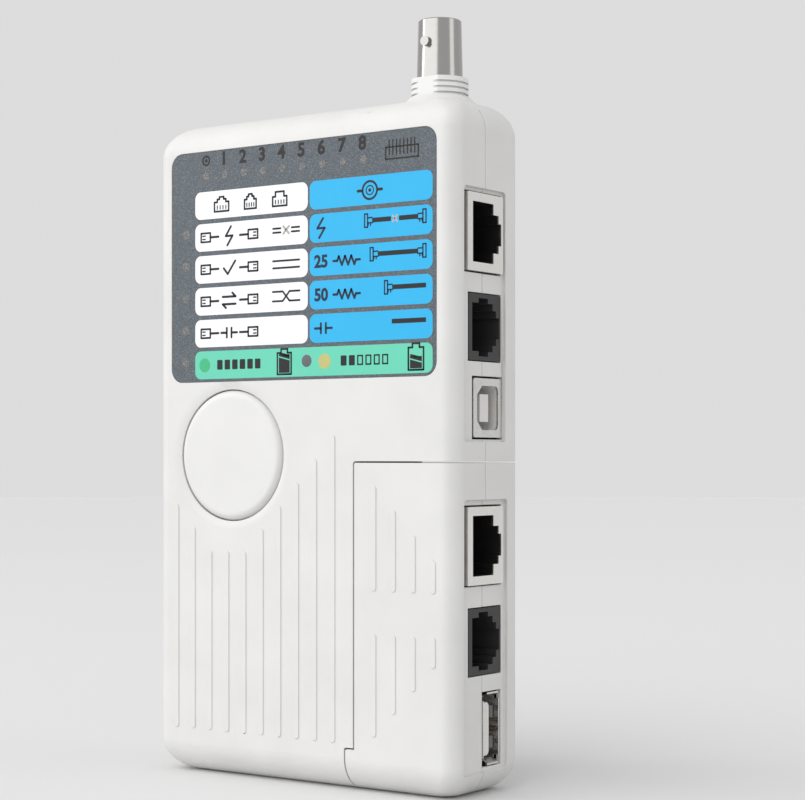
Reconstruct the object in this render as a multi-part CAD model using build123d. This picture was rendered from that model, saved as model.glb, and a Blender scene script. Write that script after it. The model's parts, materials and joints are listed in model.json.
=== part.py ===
"""Network cable tester: main tester, detachable remote unit, jacks, boards, battery and fasteners.

Millimetres. The tester stands upright: its front faces -Y, +X is its right side, +Z is up, and the origin is
the middle of its underside.
"""

import os
from math import cos, pi, sin

from build123d import *

os.makedirs("parts", exist_ok=True)

# ---- case ----
CASE_W = 79.0  # left to right
CASE_D = 25.0  # front to back
CASE_H = 141.6  # underside to top
UPRIGHT_R = 3.5  # rounding of the four upright edges
CORNER_R = 6.5  # corners seen from the front
ROLL_R = 7.0  # front rolls into the top and the underside
BACK_ROLL = 4.6  # how far the back rolls in over the same height
WALL = 2.0
ROOT = 0.2  # how deep a post or rib is rooted in its wall
INNER_R = 4.4  # rounding of the space inside
FRONT_SHELL_D = 11.15  # depth of the front shell, to the parting line
PARTING = 0.16  # gap at the parting line
CAP_STEPS = 6  # sections in each rolled end

# ---- remote unit and its dock ----
DOCK_X = 14.5  # seam between main and remote
DOCK_Z = 67.8
DOCK_GAP = 0.30
DOCK_CORNER_R = 0.5
DOCK_INNER_R = 0.3  # least rounding where the walls turn in
LIP_REACH = 2.3  # thumb lip at the remote's foot
LIP_H = 8.9
LIP_R = 0.5
RAIL_Y = 4.2
RAIL_Z0 = 12.0
RAIL_LEN = 46.0
RAIL_NECK_W = 3.2
RAIL_HEAD_W = 6.4
RAIL_NECK_T = 1.4
RAIL_HEAD_T = 1.2
RAIL_FIT = 0.15
TRACK_WALL = 1.3

# ---- front face ----
LABEL_W = 70.2
LABEL_H = 50.0
LABEL_Z0 = 85.0
LABEL_R = 3.0
LABEL_SINK = 0.5
LABEL_T = 0.35
LABEL_FIT = 0.12
BUTTON_X = -18.4
BUTTON_Z = 69.2
BUTTON_D = 28.0
BUTTON_T = 2.6
BUTTON_PROUD = 0.15
BUTTON_EDGE_R = 1.8
BUTTON_FIT = 0.15
BUTTON_TRAVEL = 0.8
DISH_D = 32.2
DISH_DEPTH = 0.6
FLANGE_EXTRA = 0.8
FLANGE_T = 0.8
FLANGE_FIT = 0.05
GUIDE_T = 1.1  # ring that keeps the button square
GUIDE_GAP = 0.3
GUIDE_H = 1.4
STEM_D = 5.0
RIB_W = 1.3
RIB_RISE = 0.3
RIB_X0 = -33.6
RIB_PITCH = 4.75
RIB_COUNT = 10
RIB_Z0 = 9.85
RIB_TOP_MIN = 48.6
RIB_STEP = 4.95
RIB_VALLEY = (2, 4)  # the ribs that share the lowest top
REMOTE_RIB_X0 = 19.6
REMOTE_RIB_PITCH = 4.87
REMOTE_RIB_COUNT = 4
REMOTE_RIB_TOP = 63.0
REMOTE_RIB_MID = (41.5, 32.8)  # foot of the upper ribs, top of the lower ribs
REMOTE_RIB_FOOT = 11.8

# ---- side jacks ----
RECESS_DEPTH = 0.8
RECESS_R = 0.9
MAIN_RECESS_Y = (-9.1, 6.4)
REMOTE_RECESS_Y = (-9.1, 7.1)
MAIN_RECESS_Z = (71.9, 123.1)
REMOTE_RECESS_Z = (4.9, 60.2)
BOARD_Y = 6.0  # front face of both boards
BOARD_T = 1.6
SHIELD_WALL = 0.35
RJ45_PROUD = 0.65
RJ45_Y = (-7.6, 5.6)
RJ45_W = 15.8
RJ45_GAPS = (0.75, 0.25, 0.3)  # window's room before, behind and at the ends
RJ45_DEPTH = 15.6
RJ45_MOUTH_Y0 = -5.75
RJ45_STEPS = ((7.65, 12.2), (9.6, 7.8), (10.6, 4.5))  # reach from the mouth's foot, width
RJ45_BORE = 12.5
RJ45_MAIN_Z = 114.2
RJ45_REMOTE_Z = 50.9
PHONE_Y = (-6.4, 5.6)
PHONE_W = 13.5
PHONE_GAPS = (0.2, 0.2, 0.2)
PHONE_DEPTH = 13.0
PHONE_MOUTH_Y0 = -5.05
PHONE_STEPS = ((7.65, 9.8), (8.95, 7.1), (10.1, 4.3))
PHONE_EAR = (2.4, 5.9, 11.8)  # wider part of the mouth: from, to, width
PHONE_BORE = 10.5
PHONE_MAIN_Z = 95.1
PHONE_REMOTE_Z = 31.5
USB_B_Y = (-4.6, 6.0)
USB_B_W = 12.0
USB_B_GAPS = (0.5, 0.2, 0.4)
USB_B_WALL = 0.35
USB_B_TONGUE = (3.2, 5.6)  # thickness, width
USB_B_TONGUE_BACK = 0.9  # from the mouth
USB_B_CORNER_R = 1.2
USB_B_DEPTH = 16.0
USB_B_Z = 78.8
USB_B_MOUTH = (9.0, 7.9)
USB_B_CHAMFER = 1.9
USB_B_BORE = 9.0
USB_A_Y = (-1.0, 5.25)
USB_A_W = 13.2
USB_A_DEPTH = 14.0
USB_A_Z = 13.5
USB_A_WALL = 0.35
USB_A_FLARE = 0.8
USB_A_LIP = (0.6, 4.8, 1.3)  # flared lips at the ends: from, to, length
USB_A_GAPS = (0.4, 0.5, 0.25)
USB_A_TONGUE = (0.3, 2.05, 10.8)  # gap to the wall, thickness, width
USB_A_TONGUE_BACK = 0.4
USB_A_TONGUE_R = 1.0
USB_A_SLIT = (0.2, 4.0)
USB_A_BORE = 9.5
USB_A_SET = 0.1  # mouth behind the recess floor
USB_A_CONTACTS = (-3.5, -1.0, 1.0, 3.5)
USB_CONTACT_W = 1.0
USB_CONTACT_T = 0.15
USB_CONTACT_PITCH = 2.5
INSERT_FIT = 0.05  # plastic inside a metal can
PEG_D = 1.8
PEG_FIT = 0.1
RJ45_PEG_REACH = 5.7  # from the jack's middle
RJ45_PEG_BACK = 8.85  # behind its face
PHONE_PEG_REACH = 4.75
PHONE_PEG_BACK = 7.0

# ---- coax jack ----
BNC_X = 27.8
BNC_Y = -0.5
BNC_BARREL_D = 9.5
BNC_RIM_D = 8.9  # the barrel tapers to its rim
BNC_BORE_D = 7.9
BNC_ROOT = 4.05  # barrel's root below the case top
BNC_FLOOR_T = 3.0
BNC_TOP = 17.0  # rim above the case
BNC_COLLAR_D = 11.8
BNC_COLLAR_H = 4.9
BNC_GROOVES = 3
BNC_BASE = (12.0, 11.5, 13.5)
BNC_LUG_D = 2.0
BNC_LUG_REACH = 0.95
BNC_LUG_DROP = 4.9
BNC_FLATS = 10.3  # across the two flats of the collar
BNC_SWELL = (1.1, 1.0, 2.4)  # rise of the case round the collar, its drop, its spread
BNC_FIT = 0.1

# ---- boards and what they carry ----
BOARD_INSET = 1.2  # from the inside of the case
BOARD_GAP = 1.35  # from the dock wall
BOARD_REST = 0.6  # above the dock roof
BATTERY_GAP = 1.4  # from the door's surround
LED_D = 3.0
LED_H = 5.2
LED_TIP = 0.25  # behind the overlay
LED_ROW_Z = 129.5
LED_ROW_X0 = -25.4
LED_PITCH = 5.28
LED_ROW_COUNT = 9
LED_COLUMN_X = -30.8
LED_COLUMN_Z0 = 88.6
LED_COLUMN_PITCH = 6.93
LED_COLUMN_COUNT = 5
LED_BATTERY = (2.2, 88.6)
LED_LEAD_D = 0.5
LED_LEAD_SPREAD = 1.27
LED_HOLE_D = 3.4
SWITCH_W = 6.0
SWITCH_T = 3.5
SWITCH_FLOOR = 0.6
PLUNGER_D = 3.4
PLUNGER_FIT = 0.1
PLUNGER_OUT = 2.6  # how far it stands out of the switch when pressed
BUZZER_D = 12.0
BUZZER_T = 6.5
BUZZER = (10.5, 97.5)
CHIP = (-6.0, 103.0)
CHIP_SIZE = (7.6, 2.3, 18.0)
CHIP_LIFT = 0.3  # above the board
CHIP_PINS = 14  # on each side
CHIP_PITCH = 1.27
CAPACITORS = ((-19.0, 96.0), (8.0, 78.0))
CAPACITOR_D = 6.3
CAPACITOR_H = 7.5
REMOTE_RESISTORS = (21.6, 30.0, 3.2, 8)  # x, lowest z, pitch, count

# ---- battery bay ----
BATTERY = (26.2, 16.8, 46.4)
BATTERY_X = -19.0
BATTERY_Z0 = 7.0
BATTERY_Y = 0.6
CRADLE_Z = (20.0, 44.0)
CRADLE_T = 1.6
CRADLE_FIT = 0.2
BATTERY_R = 2.2
TERMINAL_SPAN = 12.7
DOOR_W = 29.0
DOOR_T = 1.75
DOOR_Z = (2.9, 62.0)
DOOR_FIT = 0.15
TONGUE_W = 1.2
TONGUE_T = 0.9
BAY_LIP = 1.0  # ledge that the door lies on
BAY_EDGE = 1.8
GRIP_COUNT = 5

# ---- fasteners ----
SCREW_D = 2.4
SCREW_HEAD_D = 4.4
SCREW_HEAD_T = 1.6
SCREW_SINK = 1.4  # head below the back face
BOSS_D = 6.4
SCREW_BITE = 8.0
CASE_SCREWS = ((-34.0, 133.0), (15.6, 136.6), (4.0, 56.0), (4.0, 9.0))
REMOTE_SCREWS = ((30.0, 62.6), (21.4, 22.6))
REMOTE_BOSS_D = 4.8
BOARD_SCREWS = ((-31.5, 79.0), (19.6, 74.0), (4.0, 122.0))
REMOTE_BOARD_SCREWS = ((28.0, 40.62),)

FRONT = -CASE_D / 2
BACK = CASE_D / 2
RIGHT = CASE_W / 2
SPLIT_Y = FRONT + FRONT_SHELL_D
FLOOR_X = RIGHT - RECESS_DEPTH  # floor of the side recesses
SEAM = DOCK_GAP / 2
LABEL_FLOOR = FRONT + LABEL_SINK
BOARD_BACK = BOARD_Y + BOARD_T


# ---- shape helpers ----
def span(x, y, z):
    """Box between low and high values on each axis."""
    size = [abs(high - low) for low, high in (x, y, z)]
    middle = [(low + high) / 2 for low, high in (x, y, z)]
    return Pos(*middle) * Box(*size)


def rod_y(x, y, z, radius):
    """Cylinder along Y; y is its (low, high)."""
    return Pos(x, sum(y) / 2, z) * Rot(90, 0, 0) * Cylinder(radius, abs(y[1] - y[0]))


def rod_z(x, y, z, radius):
    """Cylinder along Z; z is its (low, high)."""
    return Pos(x, y, sum(z) / 2) * Cylinder(radius, abs(z[1] - z[0]))


def save(name, shape):
    """Write one node; several solids become one group."""
    solids = shape.solids() if hasattr(shape, "solids") else list(shape)
    export_step(solids[0] if len(solids) == 1 else Compound(children=solids), f"parts/{name}.step")


def group(shapes):
    """Separate solids that share one node."""
    return Compound(children=[solid for shape in shapes for solid in shape.solids()])


# ---- case envelope ----
def section(height, part):
    """Rounded outline of the case at one height, where its ends have rolled in by a part."""
    width = CASE_W - 2 * CORNER_R * part
    depth = CASE_D - (ROLL_R + BACK_ROLL) * part
    shift = (ROLL_R - BACK_ROLL) * part / 2
    return Pos(0, shift, height) * RectangleRounded(width, depth, UPRIGHT_R)


def rolled_end(upward):
    """Rolled top or underside, as a loft whose insets follow two quarter circles."""
    sections = []
    for step in range(CAP_STEPS + 1):
        angle = pi / 2 * step / CAP_STEPS
        height = ROLL_R * sin(angle)
        level = CASE_H - ROLL_R + height if upward else ROLL_R - height
        sections.append(section(level, 1 - cos(angle)))
    return loft(sections)


def envelope():
    """Whole outside of the closed tester."""
    middle = Pos(0, 0, ROLL_R) * extrude(RectangleRounded(CASE_W, CASE_D, UPRIGHT_R), CASE_H - 2 * ROLL_R)
    return middle + rolled_end(True) + rolled_end(False)


def hollow():
    """Space inside the case."""
    space = span((-RIGHT + WALL, RIGHT - WALL), (FRONT + WALL, BACK - WALL), (WALL, CASE_H - WALL))
    return fillet(space.edges(), INNER_R)


def remote_zone(grow):
    """Corner that the remote unit fills, grown or shrunk on the two seams."""
    depth = (FRONT - 2, BACK + 2)
    corner = span((DOCK_X - grow, RIGHT + 2), depth, (-2, DOCK_Z + grow))
    edge = corner.edges().filter_by(Axis.Y).sort_by(Axis.Z)[-2:].sort_by(Axis.X)[0]
    corner = fillet(edge, max(DOCK_CORNER_R + grow, DOCK_INNER_R))
    foot = span((DOCK_X - LIP_REACH - grow, DOCK_X + 2), depth, (-2, LIP_H + grow))
    heel = foot.edges().filter_by(Axis.Y).sort_by(Axis.Z)[-2:].sort_by(Axis.X)[0]
    return corner + fillet(heel, LIP_R)


def half(front):
    """Region in front of or behind the parting line."""
    if front:
        return span((-RIGHT - 2, RIGHT + 2), (FRONT - 2, SPLIT_Y - PARTING / 2), (-2, CASE_H + 4))
    return span((-RIGHT - 2, RIGHT + 2), (SPLIT_Y + PARTING / 2, BACK + 2), (-2, CASE_H + 4))


# ---- side openings ----
def recess(y, z):
    """Shallow rounded recess in the right side."""
    place = Plane.YZ.offset(FLOOR_X) * Pos(sum(y) / 2, sum(z) / 2)
    return extrude(place * RectangleRounded(y[1] - y[0], z[1] - z[0], RECESS_R), RECESS_DEPTH + 2)


def jack_window(y, z_mid, width, gaps):
    """Hole through the side wall round one jack; gaps are before it, behind it and at its ends."""
    before, behind, ends = gaps
    reach = (FLOOR_X - WALL - 1, RIGHT + 1)
    rise = width / 2 + ends
    return span(reach, (y[0] - before, y[1] + behind), (z_mid - rise, z_mid + rise))


def main_windows():
    """Side and top holes of the main unit."""
    cuts = recess(MAIN_RECESS_Y, MAIN_RECESS_Z)
    cuts += jack_window(RJ45_Y, RJ45_MAIN_Z, RJ45_W, RJ45_GAPS)
    cuts += jack_window(PHONE_Y, PHONE_MAIN_Z, PHONE_W, PHONE_GAPS)
    cuts += jack_window(USB_B_Y, USB_B_Z, USB_B_W, USB_B_GAPS)
    return cuts + bnc_collar((CASE_H - WALL - 1, CASE_H + 3), BNC_FIT)


def remote_windows():
    """Side holes of the remote unit."""
    cuts = recess(REMOTE_RECESS_Y, REMOTE_RECESS_Z)
    cuts += jack_window(RJ45_Y, RJ45_REMOTE_Z, RJ45_W, RJ45_GAPS)
    cuts += jack_window(PHONE_Y, PHONE_REMOTE_Z, PHONE_W, PHONE_GAPS)
    return cuts + jack_window(USB_A_Y, USB_A_Z, USB_A_W + 2 * USB_A_FLARE, USB_A_GAPS)


# ---- front details ----
def rib(x, low, high):
    """Raised grip rib with round ends, on the front face."""
    outline = Plane.XZ.offset(-FRONT) * Pos(x, (low + high) / 2) * Rot(0, 0, 90) * SlotOverall(high - low, RIB_W)
    return extrude(outline, RIB_RISE) + extrude(outline, -WALL / 2)


def main_ribs():
    """Grip ribs on the main front; their tops fall and rise round the button."""
    ribs = []
    for index in range(RIB_COUNT):
        beyond = max(RIB_VALLEY[0] - index, index - RIB_VALLEY[1], 0)
        ribs.append(rib(RIB_X0 + RIB_PITCH * index, RIB_Z0, RIB_TOP_MIN + RIB_STEP * beyond))
    return ribs


def remote_ribs():
    """Two groups of ribs on the remote, which slope away from its middle."""
    ribs = []
    for index in range(REMOTE_RIB_COUNT):
        x, drop = REMOTE_RIB_X0 + REMOTE_RIB_PITCH * index, RIB_STEP * index
        ribs.append(rib(x, REMOTE_RIB_MID[0], REMOTE_RIB_TOP - drop))
        ribs.append(rib(x, REMOTE_RIB_FOOT + drop, REMOTE_RIB_MID[1]))
    return ribs


def label_outline(shrink):
    """Outline of the label on its sunk floor."""
    place = Plane.XZ.offset(-LABEL_FLOOR) * Pos(0, LABEL_Z0 + LABEL_H / 2)
    return place * RectangleRounded(LABEL_W - 2 * shrink, LABEL_H - 2 * shrink, LABEL_R - shrink)


def led_places():
    """Centres of the row, the column and the battery LED, seen from the front."""
    row = [(LED_ROW_X0 + LED_PITCH * index, LED_ROW_Z) for index in range(LED_ROW_COUNT)]
    column = [
        (LED_COLUMN_X, LED_COLUMN_Z0 + LED_COLUMN_PITCH * index) for index in range(LED_COLUMN_COUNT)
    ]
    return row, column, [LED_BATTERY]


def button_hole():
    """Bore for the power button and the dish round it."""
    bore = rod_y(BUTTON_X, (FRONT - 1, FRONT + WALL + 1), BUTTON_Z, BUTTON_D / 2 + BUTTON_FIT)
    cone = Cone(DISH_D / 2, BUTTON_D / 2 + BUTTON_FIT, DISH_DEPTH)
    dish = Pos(BUTTON_X, FRONT + DISH_DEPTH / 2, BUTTON_Z) * Rot(-90, 0, 0) * cone
    return bore + dish


def button_guide():
    """Ring inside the front shell that keeps the button square."""
    inner = BUTTON_D / 2 + FLANGE_EXTRA + GUIDE_GAP
    depth = (FRONT + WALL - ROOT, FRONT + WALL + GUIDE_H)
    ring = rod_y(BUTTON_X, depth, BUTTON_Z, inner + GUIDE_T)
    return ring - rod_y(BUTTON_X, (depth[0] - 1, depth[1] + 1), BUTTON_Z, inner)


# ---- screws and bosses ----
def boss_front(x, z, diameter):
    """Post that a case screw bites into."""
    return rod_y(x, (FRONT + WALL - ROOT, SPLIT_Y - PARTING / 2), z, diameter / 2)


def boss_back(x, z, diameter):
    """Tube round a case screw, behind the parting line."""
    return rod_y(x, (SPLIT_Y + PARTING / 2, BACK - WALL + ROOT), z, diameter / 2)


def screw_hole(x, z):
    """Clearance and counterbore for a case screw."""
    head_seat = BACK - SCREW_SINK - SCREW_HEAD_T
    shank = rod_y(x, (SPLIT_Y - 1, BACK + 1), z, SCREW_D / 2 + 0.15)
    return shank + rod_y(x, (head_seat, BACK + 1), z, SCREW_HEAD_D / 2 + 0.15)


def screw(x, y_seat, z, length):
    """Pan-head screw, driven towards the front, with a cross recess."""
    head = rod_y(x, (y_seat, y_seat + SCREW_HEAD_T), z, SCREW_HEAD_D / 2)
    rim = head.edges().filter_by(GeomType.CIRCLE).group_by(Axis.Y)[-1]
    head = fillet(rim, SCREW_HEAD_T * 0.35)
    slot = SCREW_HEAD_D * 0.62
    depth = (y_seat + SCREW_HEAD_T * 0.45, y_seat + SCREW_HEAD_T + 1)
    cross = span((x - slot / 2, x + slot / 2), depth, (z - 0.3, z + 0.3))
    cross += span((x - 0.3, x + 0.3), depth, (z - slot / 2, z + slot / 2))
    return head - cross + rod_y(x, (y_seat - length, y_seat + 0.1), z, SCREW_D / 2)


def case_screw(x, z):
    """Case screw in its counterbore."""
    return screw(x, BACK - SCREW_SINK - SCREW_HEAD_T, z, BACK - SCREW_SINK - SCREW_HEAD_T - SPLIT_Y + SCREW_BITE)


def board_post(x, z):
    """Post on the back shell that a board rests on."""
    return rod_y(x, (BOARD_BACK, BACK - WALL + ROOT), z, 2.4)


def board_screw(x, z):
    """Short screw that holds a board to its post, head to the front."""
    turned = Rot(180, 0, 0) * screw(0, 0, 0, 3.6)
    return Pos(x, BOARD_Y, z) * turned


def board_screw_hole(x, z):
    """Hole for a board screw in the board and its post."""
    return rod_y(x, (BOARD_Y - 1, BOARD_Y + 4.0), z, SCREW_D / 2 + 0.12)


# ---- battery bay ----
def door_zone(fit):
    """Door's plate and tongues, grown by a fit."""
    half_w = DOOR_W / 2 + fit
    y_in = BACK - DOOR_T - fit
    plate = span((BATTERY_X - half_w, BATTERY_X + half_w), (y_in, BACK + 1), (-2, DOOR_Z[1] + fit))
    side = half_w + TONGUE_W
    tongue = span((BATTERY_X - side, BATTERY_X + side), (y_in, y_in + TONGUE_T + 2 * fit), (-2, DOOR_Z[1] + fit))
    return plate + tongue


def bay_frame():
    """Thicker surround inside the back shell, with the ledge that the door lies on."""
    outer = DOOR_W / 2 + TONGUE_W + BAY_EDGE
    depth = (BACK - DOOR_T - DOOR_FIT - BAY_LIP, BACK - 0.5)
    frame = span((BATTERY_X - outer, BATTERY_X + outer), depth, (WALL, DOOR_Z[1] + BAY_EDGE + 1))
    return frame


def bay_opening():
    """Way in for the battery."""
    half_w = BATTERY[0] / 2 + 0.5
    return span((BATTERY_X - half_w, BATTERY_X + half_w), (0, BACK + 1), (BATTERY_Z0 - 1, DOOR_Z[1] - 1.5))


def battery_cradle():
    """Ribs inside the front shell that the battery lies on."""
    half_w = BATTERY[0] / 2 - 2
    depth = (FRONT + WALL - ROOT, BATTERY_Y - BATTERY[1] / 2 - CRADLE_FIT)
    x = (BATTERY_X - half_w, BATTERY_X + half_w)
    return group([span(x, depth, (z - CRADLE_T / 2, z + CRADLE_T / 2)) for z in CRADLE_Z])


# ---- rail ----
def rail(fit):
    """T rail on the dock wall, grown by a fit for its track."""
    face = DOCK_X - SEAM
    neck = RAIL_NECK_W / 2 + fit
    head = RAIL_HEAD_W / 2 + fit
    low = RAIL_Z0 - fit
    high = RAIL_Z0 + RAIL_LEN if fit == 0 else DOCK_Z + 2
    shape = span((face - 0.5, face + RAIL_NECK_T + fit + 0.2), (RAIL_Y - neck, RAIL_Y + neck), (low, high))
    start = face + RAIL_NECK_T - fit
    return shape + span((start, start + RAIL_HEAD_T + 2 * fit), (RAIL_Y - head, RAIL_Y + head), (low, high))


def track_block():
    """Thick part of the remote's back shell that the rail's track is cut in."""
    wide = RAIL_HEAD_W / 2 + RAIL_FIT + TRACK_WALL
    start = DOCK_X + SEAM
    reach = start + RAIL_NECK_T + RAIL_HEAD_T + RAIL_FIT + TRACK_WALL - DOCK_GAP
    return span((start, reach), (RAIL_Y - wide, RAIL_Y + wide), (WALL, DOCK_Z)) & remote_zone(-SEAM)


# ---- shells ----
def main_solid(body, space):
    """Main unit as one hollow piece, before it is parted."""
    outside = body - remote_zone(SEAM)
    inside = space - remote_zone(SEAM + WALL)
    rise, drop, spread = BNC_SWELL
    swell = Cone(BNC_COLLAR_D / 2 + spread, BNC_COLLAR_D / 2 + 0.3, rise + drop)
    outside += Pos(BNC_X, BNC_Y, CASE_H + (rise - drop) / 2) * swell
    return outside - inside - main_windows()


def remote_solid(body, space):
    """Remote unit as one hollow piece, before it is parted."""
    return (body & remote_zone(-SEAM)) - (space & remote_zone(-SEAM - WALL)) - remote_windows()


def front_shell(main):
    """Front half of the main case."""
    shell = main & half(True)
    shell += button_guide()
    shell += battery_cradle()
    for x, z in CASE_SCREWS:
        shell += boss_front(x, z, BOSS_D)
    for piece in main_ribs():
        shell += piece
    shell -= button_hole()
    shell -= extrude(label_outline(0), LABEL_SINK + 1)
    for places in led_places():
        for x, z in places:
            shell -= rod_y(x, (LABEL_FLOOR - 1, FRONT + WALL + 1), z, LED_HOLE_D / 2)
    for x, z in CASE_SCREWS:
        shell -= rod_y(x, (SPLIT_Y - SCREW_BITE - 0.3, SPLIT_Y + 1), z, SCREW_D / 2 + 0.02)
    return shell


def back_shell(main, space):
    """Back half of the main case, with the battery bay and the rail."""
    shell = main & half(False)
    shell += bay_frame() & (space - remote_zone(SEAM + WALL))
    for x, z in CASE_SCREWS:
        shell += boss_back(x, z, BOSS_D)
    for x, z in BOARD_SCREWS:
        shell += board_post(x, z)
    shell += rail(0)
    shell = shell - door_zone(DOOR_FIT) - bay_opening()
    for x, z in CASE_SCREWS:
        shell -= screw_hole(x, z)
    for x, z in BOARD_SCREWS:
        shell -= board_screw_hole(x, z)
    return shell


def remote_front_shell(remote):
    """Front half of the remote case."""
    shell = remote & half(True)
    for x, z in REMOTE_SCREWS:
        shell += boss_front(x, z, REMOTE_BOSS_D)
    for piece in remote_ribs():
        shell += piece
    for x, z in REMOTE_SCREWS:
        shell -= rod_y(x, (SPLIT_Y - SCREW_BITE - 0.3, SPLIT_Y + 1), z, SCREW_D / 2 + 0.02)
    return shell


def remote_back_shell(body, remote):
    """Back half of the remote case, with the track for the rail."""
    shell = remote & half(False)
    shell += track_block() & body & half(False)
    for x, z in REMOTE_SCREWS:
        shell += boss_back(x, z, REMOTE_BOSS_D)
    for x, z in REMOTE_BOARD_SCREWS:
        shell += board_post(x, z)
    shell -= rail(RAIL_FIT)
    for x, z in REMOTE_SCREWS:
        shell -= screw_hole(x, z)
    for x, z in REMOTE_BOARD_SCREWS:
        shell -= board_screw_hole(x, z)
    return shell


def battery_door(body):
    """Sliding door, flush with the back and rolled with it at its foot."""
    plate = body & door_zone(0) & span((-RIGHT, RIGHT), (0, BACK + 1), DOOR_Z)
    for index in range(GRIP_COUNT):
        z = DOOR_Z[1] - 6 - 2.0 * index
        plate -= span((BATTERY_X - 6, BATTERY_X + 6), (BACK - 0.45, BACK + 1), (z - 0.5, z + 0.5))
    return plate


# ---- button ----
def power_button():
    """Round cap with a rounded rim, a flange that keeps it in, and a stem."""
    face = FRONT - BUTTON_PROUD
    back = face + BUTTON_T + BUTTON_PROUD
    cap = rod_y(BUTTON_X, (face, back), BUTTON_Z, BUTTON_D / 2)
    rim = cap.edges().filter_by(GeomType.CIRCLE).group_by(Axis.Y)[0]
    cap = fillet(rim, BUTTON_EDGE_R)
    flange_y = FRONT + WALL + FLANGE_FIT
    cap += rod_y(BUTTON_X, (flange_y, flange_y + FLANGE_T), BUTTON_Z, BUTTON_D / 2 + FLANGE_EXTRA)
    cap += rod_y(BUTTON_X, (back - ROOT, plunger_tip()), BUTTON_Z, STEM_D / 2)
    return cap


def plunger_tip():
    """Where the button's stem meets the switch plunger."""
    return BOARD_Y - SWITCH_T - BUTTON_TRAVEL - PLUNGER_OUT


def switch_body():
    """Square body of the tact switch, with a bore for its plunger."""
    half_w = SWITCH_W / 2
    x = (BUTTON_X - half_w, BUTTON_X + half_w)
    body = span(x, (BOARD_Y - SWITCH_T, BOARD_Y), (BUTTON_Z - half_w, BUTTON_Z + half_w))
    return body - rod_y(BUTTON_X, (BOARD_Y - SWITCH_T - 1, BOARD_Y - SWITCH_FLOOR), BUTTON_Z, PLUNGER_D / 2 + PLUNGER_FIT)


def switch_plunger():
    """Plunger that the button pushes."""
    return rod_y(BUTTON_X, (plunger_tip(), BOARD_Y - SWITCH_FLOOR - PLUNGER_FIT - BUTTON_TRAVEL), BUTTON_Z, PLUNGER_D / 2)


# ---- boards ----
def board_holes(board, places, screws, diameter):
    """Board with room round case bosses and holes for its own screws."""
    for x, z in places:
        board -= rod_y(x, (BOARD_Y - 1, BOARD_BACK + 1), z, diameter / 2 + 0.4)
    for x, z in screws:
        board -= board_screw_hole(x, z)
    return board


def jack_holes(board, z_rj45, z_phone):
    """Board with room for the pegs and shield tabs of a unit's jacks."""
    board -= jack_pegs(rj45_peg_x(), z_rj45, RJ45_PEG_REACH, PEG_FIT)
    board -= jack_pegs(phone_peg_x(), z_phone, PHONE_PEG_REACH, PEG_FIT)
    for side in (-1, 1):
        board -= shield_tab(z_rj45, side, PEG_FIT)
    return board


def main_board():
    """Main circuit board, cut away over the battery and the remote."""
    left, right = -RIGHT + WALL + BOARD_INSET, RIGHT - WALL - BOARD_INSET
    shelf = DOCK_Z + SEAM + WALL + BOARD_REST
    board = span((left, right), (BOARD_Y, BOARD_BACK), (shelf, CASE_H - WALL - BOARD_INSET))
    beside = (left, DOCK_X - SEAM - WALL - BOARD_GAP)
    board += span(beside, (BOARD_Y, BOARD_BACK), (DOOR_Z[1] + BAY_EDGE + BATTERY_GAP, shelf + 1))
    board = fillet(board.edges().filter_by(Axis.Y), 1.2)
    board = jack_holes(board, RJ45_MAIN_Z, PHONE_MAIN_Z)
    return board_holes(board, CASE_SCREWS, BOARD_SCREWS, BOSS_D)


def remote_board():
    """Circuit board of the remote."""
    left = DOCK_X + SEAM + RAIL_NECK_T + RAIL_HEAD_T + TRACK_WALL + 1.4
    right = RIGHT - WALL - BOARD_INSET
    board = span((left, right), (BOARD_Y, BOARD_BACK), (WALL + 3.5, DOCK_Z - WALL - 1.8))
    board = fillet(board.edges().filter_by(Axis.Y), 1.0)
    board = jack_holes(board, RJ45_REMOTE_Z, PHONE_REMOTE_Z)
    for side in (-1, 1):
        board -= usb_a_tab(side, PEG_FIT)
    return board_holes(board, REMOTE_SCREWS, REMOTE_BOARD_SCREWS, REMOTE_BOSS_D)


def led(x, z):
    """Round LED with a domed tip and a collar, facing the overlay."""
    tip = LABEL_FLOOR + LED_TIP
    dome = rod_y(x, (tip, tip + LED_H), z, LED_D / 2)
    front_edge = dome.edges().filter_by(GeomType.CIRCLE).group_by(Axis.Y)[0]
    dome = fillet(front_edge, LED_D * 0.45)
    return dome + rod_y(x, (tip + LED_H - 0.8, tip + LED_H), z, LED_D / 2 + 0.3)


def led_lead_pair(x, z):
    """Two straight leads from an LED to the board."""
    start = LABEL_FLOOR + LED_TIP + LED_H
    places = (x - LED_LEAD_SPREAD, x + LED_LEAD_SPREAD)
    return [rod_y(place, (start, BOARD_Y), z, LED_LEAD_D / 2) for place in places]


def chip():
    """Microcontroller: flat package with gull-wing pins on both long sides."""
    (x, z), (wide, thick, tall) = CHIP, CHIP_SIZE
    y = (BOARD_Y - CHIP_LIFT - thick, BOARD_Y - CHIP_LIFT)
    body = span((x - wide / 2, x + wide / 2), y, (z - tall / 2, z + tall / 2))
    body = fillet(body.edges().filter_by(Axis.Z), 0.3)
    for index in range(CHIP_PINS):
        level = z + (index - (CHIP_PINS - 1) / 2) * CHIP_PITCH
        for side in (-1, 1):
            foot = x + side * (wide / 2 + 0.8)
            body += span((foot - 0.9, foot + 0.9), (BOARD_Y - CHIP_LIFT, BOARD_Y), (level - 0.2, level + 0.2))
            leg = x + side * (wide / 2 + 0.15)
            body += span((leg - 0.25, leg + 0.25), (BOARD_Y - 1.6, BOARD_Y), (level - 0.2, level + 0.2))
    return body


def small_block(x, z, size):
    """Surface-mount part on the front of a board."""
    return span((x - size[0] / 2, x + size[0] / 2), (BOARD_Y - size[1], BOARD_Y), (z - size[2] / 2, z + size[2] / 2))


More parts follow.
